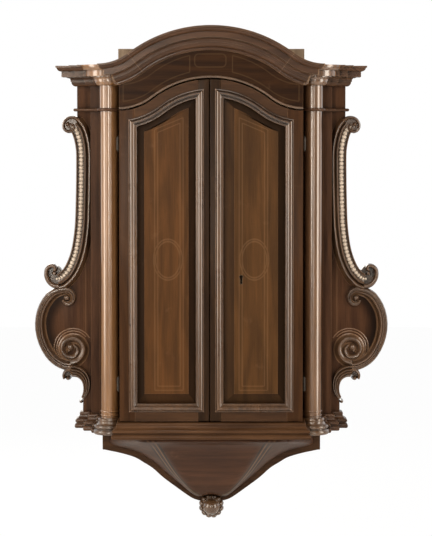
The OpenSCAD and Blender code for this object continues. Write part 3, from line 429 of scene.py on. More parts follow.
def frieze_lines(m, colour):
    """A cartouche over the crown and a panel line on each side of it."""
    x, z, _ = plan(m)
    half_w, half_h, corner = CARTOUCHE
    side = ((x - CARTOUCHE_AT[0]).size() - (half_w - corner)).higher(0)
    up = ((z - CARTOUCHE_AT[1]).size() - (half_h - corner)).higher(0)
    lines = string_at((side * side + up * up).root() - corner)
    across = x.size()
    crown = (ARCH_CROWN_R ** 2 - across * across).higher(0).root() + (ARCH_TOP - ARCH_CROWN_R)
    inset = ARCH_HALF - across
    foot = ARCH_TOP - ARCH_RISE + ARCH_FOOT_R - (ARCH_FOOT_R ** 2 - inset * inset).higher(0).root()
    share = across.step(ARCH_JOINT_X - 2, ARCH_JOINT_X + 2)
    height = z - crown * (1 - share) - foot * share
    near, far = FRIEZE_END_X
    low, high = FRIEZE_LINES
    along = string_at(height - low).higher(string_at(height - high)) * within(across, near, far)
    ends = string_at(across - near).higher(string_at(across - far)) * within(height, low, high)
    return m.mix(lines.higher(along).higher(ends) * FAINT * FRIEZE_FAINT, colour, STRING)


def wing_lines(m, colour):
    """Painted shade in the hollow inside the lower scroll, and a pair of upright lines beside the column.
    """
    x, z, facing = plan(m)
    across = x.size()
    # Painted shade in the hollow inside the lower scroll
    side = (across - HOLLOW_AT[0]) / HOLLOW_SIZE[0]
    up = (z - HOLLOW_AT[1]) / HOLLOW_SIZE[1]
    hollow = (side * side + up * up).root().step(*HOLLOW_FADE) * across.step(*HOLLOW_INSIDE)
    colour = m.mix(hollow * within(z, *HOLLOW_ENDS) * HOLLOW_SHADE_SHARE, colour, HOLLOW_SHADE)
    near, far = WING_LINES
    low, high = WING_LINE_ENDS
    slant = (across - near) * WING_LINE_SLANT
    uprights = string_at(across - near).higher(string_at(across - far)) * within(z - slant, low, high)
    ends = string_at(z - slant - low).higher(string_at(z - slant - high)) * within(across, near, far)
    return m.mix(uprights.higher(ends) * facing.step(*WING_FACING) * FAINT, colour, STRING)


def console_lines(m, colour):
    """Dark and pale lines that run down beside the console's curved sides and meet at its foot."""
    x, z, facing = plan(m)
    rise = ((z - CONSOLE_FOOT) / (CONSOLE_TOP - CONSOLE_FOOT)).higher(0.001)
    outer = rise.root() * CONSOLE_SPREAD
    ratio = x.size() / outer
    front = facing.step(*CONSOLE_FACING) * (1 - rise.step(*CONSOLE_FADE))
    for share in CONSOLE_DARK_LINES:
        line = string_at((ratio - share) * outer, CONSOLE_DARK_W)
        colour = m.mix(line * front * CONSOLE_WAX_SHARE, colour, CONSOLE_WAX)
    for share in CONSOLE_PALE_LINES:
        line = string_at((ratio - share) * outer)
        colour = m.mix(line * front * FAINT * CONSOLE_PLAIN, colour, STRING)
    return colour


def shaded_arch(m, colour):
    """A door moulding with painted shade on its sloping faces where it runs under the arch."""
    slope = m.axes("Normal")[2].size().step(*ARCH_SLOPE) * plan(m)[1].step(ARCHED_FROM - 5, ARCHED_FROM)
    return m.mix(slope * ARCH_SHADE_SHARE, colour, ARCH_SHADE)


# Woods of this cabinet: name, darkest and lightest tone, the axis that the grain runs along, and its finish
# Stronger pale edges, for wear and painted highlight, and a paler worn colour
RUBBED_AND_GLINTING = {"edge_wear_and_glint": 0.5, "worn": (0.42, 0.27, 0.16)}
WAXED = {"gloss": 0.22, "coat": 1.0, "shine": 0.5, "polish": 0.18}
POLISHED = {"gloss": 0.24, "coat": 1.0, "shine": 1.0, "polish": 0.13}
FIELD = {"figure": 1.5, "shine": 0.12, "coat": 0.0, "paint": panel_lines_and_bevel_shadow}
frame_walnut = wood("frame_walnut", (0.021, 0.0080, 0.0026), (0.074, 0.030, 0.0095), "z")
# The meeting stiles: the frame wood painted darker, as painted shade between the mouldings
shaded_meeting_walnut = wood("shaded_meeting_walnut", (0.011, 0.005, 0.0022), (0.050, 0.023, 0.0085), "z", seed=13.0)
frame_walnut_across = wood(
    "frame_walnut_across", (0.022, 0.010, 0.005), (0.085, 0.040, 0.018), "x", seed=1.0
)
cornice_walnut = wood(
    "cornice_walnut", (0.026, 0.011, 0.005), (0.102, 0.047, 0.022), "x",
    seed=14.0, gloss=0.26, coat=0.5, **RUBBED_AND_GLINTING
)
frieze_walnut = wood(
    "frieze_walnut", (0.011, 0.0042, 0.0015), (0.045, 0.018, 0.0055), "x",
    seed=2.0, paint=frieze_lines, shine=0.06
)
moulding_walnut = wood(
    "moulding_walnut", (0.034, 0.015, 0.006), (0.135, 0.066, 0.027), "z",
    seed=9.0, paint=shaded_arch, **WAXED
)
wing_walnut = wood(
    "wing_walnut", (0.028, 0.011, 0.0048), (0.100, 0.044, 0.020), "z", seed=3.0, paint=wing_lines
)
scroll_walnut = wood(
    "scroll_walnut", (0.035, 0.017, 0.008), (0.140, 0.074, 0.037), "z",
    seed=10.0, gloss=0.26, coat=0.6, shine=0.5
)
# The beads: a pale wood, painted paler still as painted highlight
bead_walnut_with_highlight = wood(
    "bead_walnut_with_highlight", (0.50, 0.41, 0.33), (0.80, 0.69, 0.57), "z",
    seed=11.0, gloss=0.3, coat=0.5, shine=0.5, edge_wear_and_glint=0
)
wing_walnut_across = wood(
    "wing_walnut_across", (0.036, 0.016, 0.008), (0.125, 0.060, 0.029), "x", seed=4.0, coat=0.4, **RUBBED_AND_GLINTING
)
console_walnut = wood(
    "console_walnut", (0.029, 0.0105, 0.0042), (0.090, 0.036, 0.0150), "x",
    seed=12.0, gloss=0.34, coat=0.15, shine=0.25, paint=console_lines
)
base_walnut = wood(
    "base_walnut", (0.032, 0.014, 0.006), (0.115, 0.054, 0.023), "x", seed=17.0, gloss=0.3, **RUBBED_AND_GLINTING
)
bead_edge_walnut = wood(
    "bead_edge_walnut", (0.050, 0.028, 0.016), (0.170, 0.105, 0.065), "x", seed=18.0, **WAXED
)
foot_walnut = wood("foot_walnut", (0.050, 0.024, 0.011), (0.150, 0.080, 0.037), "z", seed=16.0, **WAXED)
panel_walnut_left = wood(
    "panel_walnut_left", (0.043, 0.0175, 0.0042), (0.110, 0.044, 0.0115), seed=5.0, **FIELD
)
panel_walnut_right = wood(
    "panel_walnut_right", (0.037, 0.016, 0.0040), (0.098, 0.042, 0.0115), seed=6.0, **FIELD
)
# The columns are one wood in two painted lights: the left one lighter, as lit, the right one darker, as
# shaded
lit_column_walnut = wood(
    "lit_column_walnut", (0.150, 0.068, 0.023), (0.33, 0.165, 0.062), "z", seed=7.0, wear=0.2, **POLISHED
)
shaded_column_walnut = wood(
    "shaded_column_walnut", (0.085, 0.038, 0.015), (0.23, 0.115, 0.048), "z", seed=15.0, **POLISHED
)
plain_board = wood(
    "plain_board", (0.15, 0.105, 0.07), (0.34, 0.26, 0.185), "z", seed=8.0, gloss=0.6, coat=0.0
)
wrought_iron = metal("wrought_iron", (0.05, 0.040, 0.032), rough=0.4, metallic=0.7)
dull_brass = metal("dull_brass", (0.10, 0.065, 0.035), rough=0.5, metallic=0.6)

MATERIAL_OF_SLOT = {
    "frame_wood": frame_walnut,
    "wing_wood": wing_walnut,
    "panel_wood": panel_walnut_left,
    "column_wood": lit_column_walnut,
    "plain_wood": plain_board,
    "iron": wrought_iron,
    "brass": dull_brass,
}
SLOT_OF_NODE = {part["node"]: part["material_slot"] for part in frame["record"]["subparts"]}
FEET = ("column_base_left", "column_base_right", "finial_ball", "rosette")
ACROSS = ("left_rails", "right_rails", "console_plate")
WING_ACROSS = (
    "cornice_left", "cornice_right", "base_left", "base_right", "neck_band_left", "neck_band_right",
)
# The right column takes the shaded copy of the column wood
RIGHT_COLUMN = ("column_right", "column_drum_right", "column_cornice_right")
OWN_MATERIAL = {
    "right_panel": panel_walnut_right,
    "frieze_board": frieze_walnut,
    "left_moulding": moulding_walnut,
    "right_moulding": moulding_walnut,
    "console_body": console_walnut,
    "pediment_cornice": cornice_walnut,
    "arch_bead": bead_edge_walnut,
    "base_front": base_walnut,
    "left_meeting_stile": shaded_meeting_walnut,
    "right_meeting_stile": shaded_meeting_walnut,
    "column_cornice_left": lit_column_walnut,
    **dict.fromkeys(RIGHT_COLUMN, shaded_column_walnut),
    **dict.fromkeys(FEET, foot_walnut),
    **dict.fromkeys(ACROSS, frame_walnut_across),
    **dict.fromkeys(WING_ACROSS, wing_walnut_across),
}


def material_for(node):
    return OWN_MATERIAL.get(node, MATERIAL_OF_SLOT[SLOT_OF_NODE[node]])


# Worn copies, in degrees: edges sharper than SOFT_ANGLE are rubbed round, a rounded block is smooth up to
# ROUND_ANGLE, and faces within NEARLY_FLAT of each other become one. Corners within MERGE metres are merged
SOFT_ANGLE, ROUND_ANGLE, NEARLY_FLAT = 28, 60, 0.5
MERGE = 1e-6


def deselect():
    for piece in bpy.context.selected_objects:
        piece.select_set(False)


def pick(*pieces):
    """Selects these pieces alone, the first of them active."""
    deselect()
    for piece in pieces:
        piece.select_set(True)
    bpy.context.view_layer.objects.active = pieces[0]


def duplicate_of(piece):
    pick(piece)
    bpy.ops.object.duplicate()
    return bpy.context.object


def finish_with(piece, material):
    piece.data.materials.clear()
    piece.data.materials.append(material)


def copied(node):
    """A copy of a CAD node with its corners merged, to be worked on."""
    piece = duplicate_of(nodes[node])
    piece.name = node + "_worn"
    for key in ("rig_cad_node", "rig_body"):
        if key in piece:
            del piece[key]
    piece.parent = None
    bpy.ops.object.mode_set(mode="EDIT")
    bpy.ops.mesh.select_all(action="SELECT")
    bpy.ops.mesh.remove_doubles(threshold=MERGE)
    bpy.ops.mesh.select_all(action="SELECT")
    bpy.ops.mesh.dissolve_limited(angle_limit=math.radians(NEARLY_FLAT))
    bpy.ops.object.mode_set(mode="OBJECT")
    return piece


def stand_in(piece, node, smooth):
    """Settles a worn copy in the place, and with the finish, of its own node."""
    settle(piece, body_of[node], material_for(node), node, smooth)


def softened(node, width):
    """Stands a copy with rounded edges in for a CAD node."""
    piece = copied(node)
    edge = piece.modifiers.new("edge", "BEVEL")
    edge.width = width
    edge.segments = 2
    edge.limit_method = "ANGLE"
    edge.angle_limit = math.radians(SOFT_ANGLE)
    edge.use_clamp_overlap = True
    bpy.ops.object.modifier_apply(modifier="edge")
    stand_in(piece, node, SOFT_ANGLE)


def rounded(node, grain, passes):
    """Stands a copy with broadly rounded shapes, like a shaped block, in for a CAD node."""
    piece = copied(node)
    skin = piece.modifiers.new("skin", "REMESH")
    skin.mode = "VOXEL"
    skin.voxel_size = grain
    bpy.ops.object.modifier_apply(modifier="skin")
    ease = piece.modifiers.new("ease", "SMOOTH")
    ease.factor = 0.5
    ease.iterations = passes
    bpy.ops.object.modifier_apply(modifier="ease")
    stand_in(piece, node, ROUND_ANGLE)


body_of = {
    member: body for body, members in frame["record"]["behaviour"]["bodies"].items() for member in members
}
for name, node in nodes.items():
    finish_with(node, material_for(name))

# Carved members, drawn for the right wing in mm: each runs along arcs of (radius, turn in degrees), with
# left turns positive. Its section is spun round each arc in steps no greater than these degrees and mm, and
# shrinks towards a point as far from the wall as the face of a band, or of the wing board
STEP_TURN, STEP_LENGTH = 9, 14
BAND_FACE, BOARD_FACE = 27, 21


def left_of(heading):
    """The way to the left of a heading, in degrees, seen from the front."""
    return Vector((-math.sin(math.radians(heading)), 0, math.cos(math.radians(heading))))


def arc_length(radius, turn):
    return radius * abs(math.radians(turn))


def leg_end(at, heading, leg):
    """Where an arc ends, and the way it then points."""
    radius, turn = leg
    side = math.copysign(radius, turn)
    centre = at + side * left_of(heading)
    return centre - side * left_of(heading + turn), heading + turn


def point_along(at, heading, legs, run):
    """The point a given distance along the way, and the way it points there."""
    for radius, turn in legs:
        length = arc_length(radius, turn)
        if run <= length:
            return leg_end(at, heading, (radius, turn * run / length))
        at, heading = leg_end(at, heading, (radius, turn))
        run -= length
    return at, heading


def legs_end(at, heading, legs):
    """Where a row of arcs ends, and the way it then points."""
    for leg in legs:
        at, heading = leg_end(at, heading, leg)
    return at, heading


def way_back(legs):
    """The same arcs, run from their other end."""
    return [(radius, -turn) for radius, turn in reversed(legs)]


def start_section(name, section, at, heading):
    """A closed outline across the way; its points are (offset to the left, distance from the wall)."""
    deselect()
    bpy.ops.mesh.primitive_circle_add(vertices=len(section), radius=1)
    piece = bpy.context.object
    piece.name = name
    across = left_of(heading)
    for vertex, (offset, out) in zip(piece.data.vertices, section):
        vertex.co = (at + offset * across) * MM + Vector((0, -out * MM, 0))
    return piece


def sweep(name, section, at, heading, legs, end_scale=1.0, anchor=BAND_FACE, power=1.0):
    """Spins a section round the centre of each arc in turn, while it shrinks to end_scale."""
    piece = start_section(name, section, at, heading)
    bpy.ops.object.mode_set(mode="EDIT")
    bpy.ops.mesh.select_mode(type="VERT")
    bpy.ops.mesh.select_all(action="SELECT")
    run = 0
    total = sum(arc_length(*leg) for leg in legs)
    for radius, turn in legs:
        length = arc_length(radius, turn)
        steps = max(1, math.ceil(abs(turn) / STEP_TURN), math.ceil(length / STEP_LENGTH))
        centre = (at + math.copysign(radius, turn) * left_of(heading)) * MM
        if end_scale == 1.0:
            bpy.ops.mesh.spin(steps=steps, angle=math.radians(turn), center=centre, axis=(0, 1, 0))
        else:
            here, way = at, heading
            for _ in range(steps):
                before = 1 + (end_scale - 1) * (run / total) ** power
                run += length / steps
                factor = (1 + (end_scale - 1) * (run / total) ** power) / before
                bpy.ops.mesh.spin(steps=1, angle=math.radians(turn / steps), center=centre, axis=(0, 1, 0))
                here, way = leg_end(here, way, (radius, turn / steps))
                hold = here * MM + Vector((0, -anchor * MM, 0))
                bpy.ops.transform.resize(value=(factor, factor, factor), center_override=hold)
        at, heading = leg_end(at, heading, (radius, turn))
    bpy.ops.mesh.select_all(action="SELECT")
    bpy.ops.mesh.remove_doubles(threshold=MERGE)
    bpy.ops.mesh.select_all(action="SELECT")
    bpy.ops.mesh.fill_holes(sides=0)
    bpy.ops.mesh.select_all(action="SELECT")
    bpy.ops.mesh.normals_make_consistent(inside=False)
    bpy.ops.object.mode_set(mode="OBJECT")
    return piece


def joined(name, pieces):
    """One named object out of several."""
    pick(*pieces)
    bpy.ops.object.join()
    whole = bpy.context.object
    whole.name = name
    return whole


def mirrored(piece, name):
    """The same piece for the left wing."""
    twin = duplicate_of(piece)
    twin.name = name
    bpy.ops.object.mode_set(mode="EDIT")
    bpy.ops.mesh.select_all(action="SELECT")
    bpy.ops.transform.resize(value=(-1, 1, 1), center_override=(0, 0, 0))
    bpy.ops.mesh.flip_normals()
    bpy.ops.object.mode_set(mode="OBJECT")
    return twin


def settle(piece, body, material, node, smooth=38):
    """Smooths, paints and places a finished piece, which stands for a CAD node."""
    pick(piece)
    bpy.ops.object.transform_apply(location=True, rotation=True, scale=True)
    bpy.ops.object.shade_smooth_by_angle(angle=math.radians(smooth))
    finish_with(piece, material)
    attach(piece, body)
    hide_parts(node)


def pair(piece, node, material):
    """Settles a right wing piece and its mirror image for the nodes node_right and node_left."""
    twin = mirrored(piece, node + "_carved_left")
    piece.name = node + "_carved_right"
    for side, one in (("right", piece), ("left", twin)):
        settle(one, "case", material, node + "_" + side)


def cut_ball(segments, rings, cut, size):
    """A ball cut flat behind, at a share of its radius, and drawn out to the given half sizes in mm."""
    deselect()
    bpy.ops.mesh.primitive_uv_sphere_add(segments=segments, ring_count=rings, radius=1)
    piece = bpy.context.object
    bpy.ops.object.mode_set(mode="EDIT")
    bpy.ops.mesh.select_all(action="SELECT")
    bpy.ops.mesh.bisect(plane_co=(0, cut, 0), plane_no=(0, 1, 0), clear_outer=True, use_fill=True)
    bpy.ops.mesh.select_all(action="SELECT")
    bpy.ops.transform.resize(value=[length * MM for length in size], center_override=(0, 0, 0))
    bpy.ops.object.mode_set(mode="OBJECT")
    return piece


def knob(name, centre, radius, base, height, flat=0.0, rings=7, around=24):
    """A turned button standing on the plane y = -base: a circle extruded and drawn in step by step."""
    deselect()
    bpy.ops.mesh.primitive_circle_add(
        vertices=around, radius=radius * MM, fill_type="NGON", rotation=(math.pi / 2, 0, 0),
        location=(centre[0] * MM, -base * MM, centre[1] * MM),
    )
    piece = bpy.context.object
    piece.name = name
    bpy.ops.object.transform_apply(location=True, rotation=True, scale=True)
    bpy.ops.object.mode_set(mode="EDIT")
    bpy.ops.mesh.select_all(action="SELECT")
    before = 1.0
    for i in range(1, rings + 1):
        turn = math.pi / 2 * i / (rings + 1)
        now = flat + (1 - flat) * math.cos(turn)
        rise = height * (math.sin(turn) - math.sin(math.pi / 2 * (i - 1) / (rings + 1)))
        bpy.ops.mesh.extrude_region_move(TRANSFORM_OT_translate={"value": (0, -rise * MM, 0)})
        hold = (centre[0] * MM, 0, centre[1] * MM)
        bpy.ops.transform.resize(value=(now / before, 1, now / before), center_override=hold)
        before = now
    bpy.ops.mesh.select_all(action="SELECT")
    bpy.ops.mesh.normals_make_consistent(inside=False)
    bpy.ops.object.mode_set(mode="OBJECT")
    return piece


# Upper scroll: a broad band whose ridge runs along the wing board, with a bead channel near its outer edge
RIDGE_START = Vector((241.5, 0, -185))
UPPER_UP = [(156, -18), (58, -27)]
UPPER_VOLUTE = [(21, -45), (18, -90), (13, -90), (10, -90), (7, -90), (5, -180)]
UPPER_DOWN = [(3495, 2), (440, 8), (175, 17), (80, 25), (34, 30)]
CURL = [(24, 52), (32, 56), (16, 76), (9, 100), (5, 120)]
UPPER_SECTION = [
    (28.5, 0), (28.5, 26.5), (27.9, 28.2), (26.6, 28.6), (25.4, 27.6), (24.9, 24.2), (22, 23.2),
    (18.6, 22.9), (15.2, 23.2), (12.5, 24.0), (12.2, 26.6), (11.4, 28.4), (10.2, 29.3), (9.2, 29.0),
    (8.2, 27.4), (6.8, 26.2), (5.6, 24.6), (5.0, 27.4), (4.2, 30.4), (2.8, 31.8), (1.0, 31.9),
    (-1.0, 30.4), (-3.2, 26.4), (-6.5, 23.0), (-7.5, 21), (0, 21), (0, 0),
]
RIM_SECTION = [(2, 0), (2, 26), (-4, 26), (-4, 0)]
VOLUTE_SECTION = [
    (2, 20), (2, 28), (1.2, 30.8), (-0.6, 32), (-2.8, 31.4), (-4.6, 28.8), (-5.4, 25), (-5.4, 20),
]
VOLUTE_EYE = (286, -122.5)
VOLUTE_BODY = (281.5, -124.5)
CURL_SECTION = [
    (-0.8, 0), (-0.8, 25), (0.2, 28.6), (2.0, 30.8), (4.4, 31.6), (6.6, 31.0), (8.4, 28.6), (9.4, 24),
    (9.4, 0),
]
CURL_EYE = (314.5, -420.6)
CURL_FLOOR = (313, -437)
CURL_HOLLOW = 15
# Beads: their line beside the ridge, pitch, half sizes, seat and start; then, towards the curl, the least
# share of their size that is left, the length over which they shrink, and how much closer they come
BEAD_LINE = 18.6
BEAD_PITCH = 7.7
BEAD_SIZE = (5.4, 3.9, 4.6)
BEAD_SEAT = 23.2
BEAD_START = 1.0
BEAD_LEAST, BEAD_TAPER, BEAD_CLOSING = 0.45, 34, 0.8


def upper_ends():
    """The top and the foot of the upper ridge, each with the way it points there."""
    return legs_end(RIDGE_START, 90, UPPER_UP), legs_end(RIDGE_START, 270, UPPER_DOWN)


def upper_scroll():
    (top, way), (low, low_way) = upper_ends()
    band = sweep("band", UPPER_SECTION, top, way + 180, way_back(UPPER_UP) + UPPER_DOWN)
    rim = sweep("rim", RIM_SECTION, top, way, UPPER_VOLUTE[:3])
    volute = sweep("volute", VOLUTE_SECTION, top, way, UPPER_VOLUTE, end_scale=0.55)
    body = knob("body", VOLUTE_BODY, radius=15.5, base=0, height=26, flat=0.9)
    eye = knob("eye", VOLUTE_EYE, radius=5, base=22, height=11)
    curl = sweep("curl", CURL_SECTION, low, low_way, CURL, end_scale=0.62)
    curl_eye = knob("curl_eye", CURL_EYE, radius=5.4, base=0, height=31, flat=0.3)
    hollow = knob("hollow", CURL_EYE, radius=15, base=0, height=CURL_HOLLOW, flat=0.9, rings=2)
    floor = knob("floor", CURL_FLOOR, radius=13, base=0, height=CURL_HOLLOW + 6, flat=0.9, rings=2)
    return joined("upper_scroll", [band, rim, volute, body, eye, curl, curl_eye, hollow, floor])


def beads():
    """Ovals that lie across the channel: one is modelled, and its copies follow the ridge."""
    (top, way), _ = upper_ends()
    legs = way_back(UPPER_UP) + UPPER_DOWN + CURL[:1]
    first = top + BEAD_LINE * left_of(way + 180)
    line = [(radius - math.copysign(BEAD_LINE, turn), turn) for radius, turn in legs]
    total = sum(arc_length(*leg) for leg in line)
    pattern = cut_ball(segments=14, rings=8, cut=0.2, size=BEAD_SIZE)
    pieces = []
    run = BEAD_START
    while run < total:
        share = min(1.0, BEAD_LEAST + (1 - BEAD_LEAST) * (total - run) / BEAD_TAPER)
        at, heading = point_along(first, way + 180, line, run)
        one = duplicate_of(pattern)
        one.location = at * MM + Vector((0, -BEAD_SEAT * MM, 0))
        one.rotation_euler = (0, -math.radians(heading + 90), 0)
        one.scale = (share, share, share)
        pieces.append(one)
        run += BEAD_PITCH * (1 - BEAD_CLOSING * (1 - share))
    bpy.data.objects.remove(pattern)
    return joined("beads", pieces)


# Lower scroll: a narrower band that swings round from under the curl into a whorl on the board
LOWER_START = Vector((-1.2, 0, -10.1))
LOWER_HEADING = -15
LOWER = [(34, -34), (78, -40), (100, -36), (56, -30), (40, -25)]
LOWER_WHORL = [(29, -90), (25, -90), (23, -90), (20, -90), (15, -90), (12, -90), (9, -120)]
WHORL_CENTRE = Vector((277, 0, -570))
WHORL_EYE = (282, -569)
BUD = (289.5, -470)
BUD_RING = [(200, 3), (12, 150), (8, 120)]
LOWER_SECTION = [
    (14.5, 0), (14.5, 22), (13.8, 26.2), (12.4, 28.8), (11.0, 29.4), (10.5, 28.2), (10.0, 29.4),
    (8.2, 29.6), (7.7, 28.2), (7.2, 29.4), (5.0, 29.2), (4.2, 27.8), (3.4, 30.8), (2.0, 32.2),
    (0.0, 32.0), (-1.4, 30.2), (-2.6, 26.2), (-5.0, 22.8), (-8.0, 21.2), (0, 21), (0, 0),
]
WHORL_SECTION = [
    (9, 21), (9, 22.1), (4.6, 24.2), (2.4, 28), (1.2, 30.6), (-1.2, 32), (-4.4, 31.4), (-8.2, 28.6),
    (-10.6, 24.8), (-11.4, 21),
]
RIPPLE_SECTION = [(1.6, 21), (1.2, 22.6), (0, 23.3), (-1.2, 22.6), (-1.6, 21)]
# Ripples round the whorl: radius, the way each starts, and its turn
RIPPLES = ((38, 40, 200), (33, 50, 180))


def turned_over(section):
    """The same section, its left side to the right."""
    return [(-offset, out) for offset, out in reversed(section)]


def lower_ends():
    """The start and the end of the lower ridge, and the way its end points."""
    _, (low, _) = upper_ends()
    start = low + LOWER_START
    return start, legs_end(start, LOWER_HEADING, LOWER)


def lower_scroll():
    start, (end, way) = lower_ends()
    neck, neck_way = legs_end(start, LOWER_HEADING, LOWER[:1])
    band = sweep("band", LOWER_SECTION, neck, neck_way, LOWER[1:])
    back = way_back(LOWER[:1]) + BUD_RING
    tip = sweep("tip", turned_over(LOWER_SECTION), neck, neck_way + 180, back, end_scale=0.25)
    whorl = sweep("whorl", WHORL_SECTION, end, way, LOWER_WHORL, end_scale=0.5, anchor=BOARD_FACE)
    eye = knob("eye", WHORL_EYE, radius=8, base=20, height=11, flat=0.1)
    bud = knob("bud", BUD, radius=6.5, base=20, height=9, flat=0.2)
    ripples = []
    for radius, first, turn in RIPPLES:
        at = WHORL_CENTRE - radius * left_of(first)
        legs = [(radius, turn)]
        ripples.append(
            sweep("ripple", RIPPLE_SECTION, at, first, legs, end_scale=0.6, anchor=BOARD_FACE)
        )
    return joined("lower_scroll", [band, tip, whorl, eye, bud, *ripples])


# Leaf under the whorl, ribbed, with a ball at its tip and a hooked bud beside it
LEAF_START = Vector((-2.8, 0, -3.2))
LEAF = [(36, 85), (46, 50)]
LEAF_ROOT = [(30, -14)]
LEAF_FACE = 20
LEAF_SECTION = [
    (-1, 0), (-1, 26), (0.2, 29.4), (1.8, 31), (3.6, 30.2), (4.8, 27.4), (5.8, 25.6), (7.0, 27.8),
    (8.8, 29.8), (10.6, 28.8), (11.8, 26.2), (13.0, 28.0), (14.8, 29.4), (16.4, 28.2), (17.4, 25.6),
    (18.6, 27.2), (20.6, 28.2), (22.8, 26.4), (24, 22), (24, 0),
]
TIP_BALL_FROM_TIP = (5.2, -4.6)
HOOK_ARM_FROM_LEAF = Vector((4, 0, -5))
HOOK_ARM = [(16, -120)]
HOOK_BALL_FROM_LEAF = (8.5, -26)
WEB_FROM_HOOK = (0.5, 10)
ARM_SECTION = [(0, 0), (0, 24), (-1.6, 28), (-4.0, 29.6), (-6.4, 28), (-8, 23), (-8, 0)]


def leaf_scroll():
    _, (end, _) = lower_ends()
    at = end + LEAF_START
    leaf = sweep("leaf", LEAF_SECTION, at, 180, LEAF, end_scale=0.27, anchor=LEAF_FACE, power=1.5)
    root = sweep("root", turned_over(LEAF_SECTION), at, 0, LEAF_ROOT, end_scale=0.8, anchor=LEAF_FACE)
    tip, _ = legs_end(at, 180, LEAF)
    ball_at = (tip.x + TIP_BALL_FROM_TIP[0], tip.z + TIP_BALL_FROM_TIP[1])
    ball = knob("ball", ball_at, radius=4.2, base=0, height=25, flat=0.3)
    arm_at = at + HOOK_ARM_FROM_LEAF
    arm = sweep("arm", ARM_SECTION, arm_at, 0, HOOK_ARM, end_scale=0.7, anchor=LEAF_FACE)
    hook_at = (at.x + HOOK_BALL_FROM_LEAF[0], at.z + HOOK_BALL_FROM_LEAF[1])
    hook = knob("hook", hook_at, radius=6, base=0, height=29, flat=0.2)
    web_at = (hook_at[0] + WEB_FROM_HOOK[0], hook_at[1] + WEB_FROM_HOOK[1])
    web = knob("web", web_at, radius=8, base=0, height=21, flat=0.9, rings=2)
    return joined("leaf_scroll", [leaf, root, ball, arm, hook, web])


pair(upper_scroll(), "upper_scroll", scroll_walnut)
pair(beads(), "beads", bead_walnut_with_highlight)
pair(lower_scroll(), "lower_scroll", scroll_walnut)
pair(leaf_scroll(), "leaf_scroll", scroll_walnut)


# Rosette under the console, in mm: a ring of petals round a domed ball, set on their own nodes
ROSETTE_LOW, ROSETTE_HIGH = (corner * MM_PER_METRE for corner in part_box("rosette"))
BALL_LOW, BALL_HIGH = (corner * MM_PER_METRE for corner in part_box("finial_ball"))
ROSETTE_AT = ((BALL_LOW.x + BALL_HIGH.x) / 2, (BALL_LOW.z + BALL_HIGH.z) / 2)
ROSETTE_R = (ROSETTE_HIGH.x - ROSETTE_LOW.x) / 2
ROSETTE_BASE = -ROSETTE_HIGH.y
INSIDE_NODE = 0.4
PETALS = 12
PETAL_SIZE = (6.8, 13, 6.2)
PETAL_RING = ROSETTE_R - PETAL_SIZE[2] - INSIDE_NODE
BALL_R = (BALL_HIGH.x - BALL_LOW.x) / 2 - INSIDE_NODE
BALL_BASE = ROSETTE_BASE + 14
DISC_R, COLLAR_R = ROSETTE_R - 5, BALL_R + 1.5


def petals():
    """Petals like drops, modelled once and set round the rosette."""
    pattern = cut_ball(segments=16, rings=10, cut=0.1, size=PETAL_SIZE)
    middle = Vector((ROSETTE_AT[0], -ROSETTE_BASE, ROSETTE_AT[1]))
    pieces = []
    for i in range(PETALS):
        turn = 2 * math.pi * (i + 0.5) / PETALS
        one = duplicate_of(pattern)
        reach = Vector((math.sin(turn), 0, math.cos(turn))) * PETAL_RING
        one.location = (reach + middle) * MM
        one.rotation_euler = (0, turn, 0)
        pieces.append(one)
    bpy.data.objects.remove(pattern)
    return pieces


def rosette():
    """A disc that carries the petals, and a collar under the ball."""
    disc = knob("disc", ROSETTE_AT, radius=DISC_R, base=ROSETTE_BASE, height=11, flat=0.75, around=48)
    collar = knob(
        "collar", ROSETTE_AT, radius=COLLAR_R, base=ROSETTE_BASE, height=16, flat=0.9, rings=3, around=40
    )
    return joined("rosette", [disc, collar, *petals()])


def finial():
    return knob(
        "finial_ball_turned", ROSETTE_AT, radius=BALL_R, base=BALL_BASE, height=20, rings=9, around=40
    )


settle(rosette(), "case", foot_walnut, "rosette")
settle(finial(), "case", foot_walnut, "finial_ball", smooth=ROUND_ANGLE)

# Worn edges, in metres: copies of the CAD boards and mouldings with their arrises rubbed round
SOFT_EDGES = {
    "console_plate": 0.0015, "base_front": 0.0008,
    "left_hinge_stile": 0.0012, "right_hinge_stile": 0.0012,
    "left_meeting_stile": 0.0014, "right_meeting_stile": 0.0014,
    "wing_board_left": 0.0012, "wing_board_right": 0.0012, "back_board": 0.002,
}
CONSOLE_GRAIN = 0.004
CONSOLE_EASING = 50
for worn_node, worn_width in SOFT_EDGES.items():
    softened(worn_node, worn_width)
rounded("console_body", CONSOLE_GRAIN, CONSOLE_EASING)

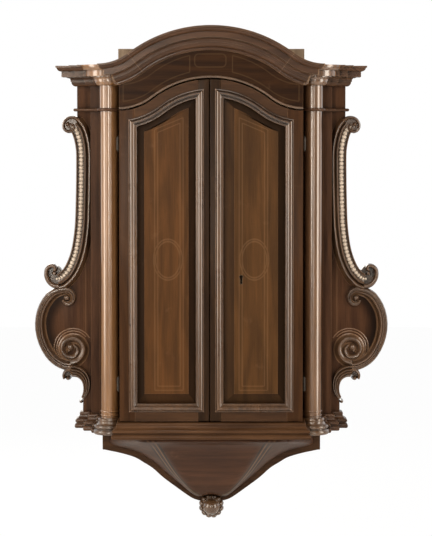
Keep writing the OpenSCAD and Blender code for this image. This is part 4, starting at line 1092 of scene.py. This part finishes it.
# Stage: a pale floor that shows as white but for its shadows, and a dim room that looks white to the camera
FLOOR_SIZE = 16
FLOOR_Z = -1.35
FLOOR_TONES = (0.86, 0.86, 0.86), (0.9, 0.9, 0.9)
FLOOR_GLOW = 1.035
WHITE = (1, 1, 1)
WORLD_FILL = 0.08
SHADOW_SHARE = 0.06


def make_stage():
    bpy.ops.mesh.primitive_plane_add(size=FLOOR_SIZE, location=(0, 0, FLOOR_Z))
    floor = bpy.context.object
    floor.name = "floor"
    m = Maker(bpy.data.materials.new("floor_paint"))
    tone = m.mix(m.noise(m.place(), 3.0, 2.0), *FLOOR_TONES)
    paint = m.node("ShaderNodeBsdfPrincipled", {}, {"Base Color": tone, "Roughness": 0.8})
    glow = m.node("ShaderNodeEmission", {}, {"Color": WHITE, "Strength": FLOOR_GLOW})
    share = m.node("ShaderNodeLightPath").out("Is Camera Ray") * (1 - SHADOW_SHARE)
    mixed = m.node("ShaderNodeMixShader", {}, {0: share, 1: paint.out(), 2: glow.out()})
    m.node("ShaderNodeOutputMaterial", {}, {0: mixed.out()})
    finish_with(floor, m.owner)


def make_world():
    """White to the camera, through glass and in glossy wood that mirrors the far side; dim as light."""
    world = bpy.data.worlds.new("studio")
    bpy.context.scene.world = world
    m = Maker(world)
    path = m.node("ShaderNodeLightPath")
    direction = m.node("ShaderNodeTexCoord").out("Generated")
    behind = m.node("ShaderNodeSeparateXYZ", {}, [direction]).out("Y")
    mirrored_wall = path.out("Is Glossy Ray") * behind.step(-0.1, 0.5)
    seen = path.out("Is Camera Ray").higher(path.out("Is Transmission Ray")).higher(mirrored_wall)
    strength = seen * (1 - WORLD_FILL) + WORLD_FILL
    backdrop = m.node("ShaderNodeBackground", {}, {"Color": WHITE, "Strength": strength})
    m.node("ShaderNodeOutputWorld", {}, {0: backdrop.out()})


make_camera()
for lamp_name, (lamp_place, lamp_size, lamp_watts) in LAMPS.items():
    make_light(lamp_name, lamp_place, lamp_size, lamp_watts)
make_stage()
make_world()

view_settings = bpy.context.scene.view_settings
view_settings.view_transform = "Standard"
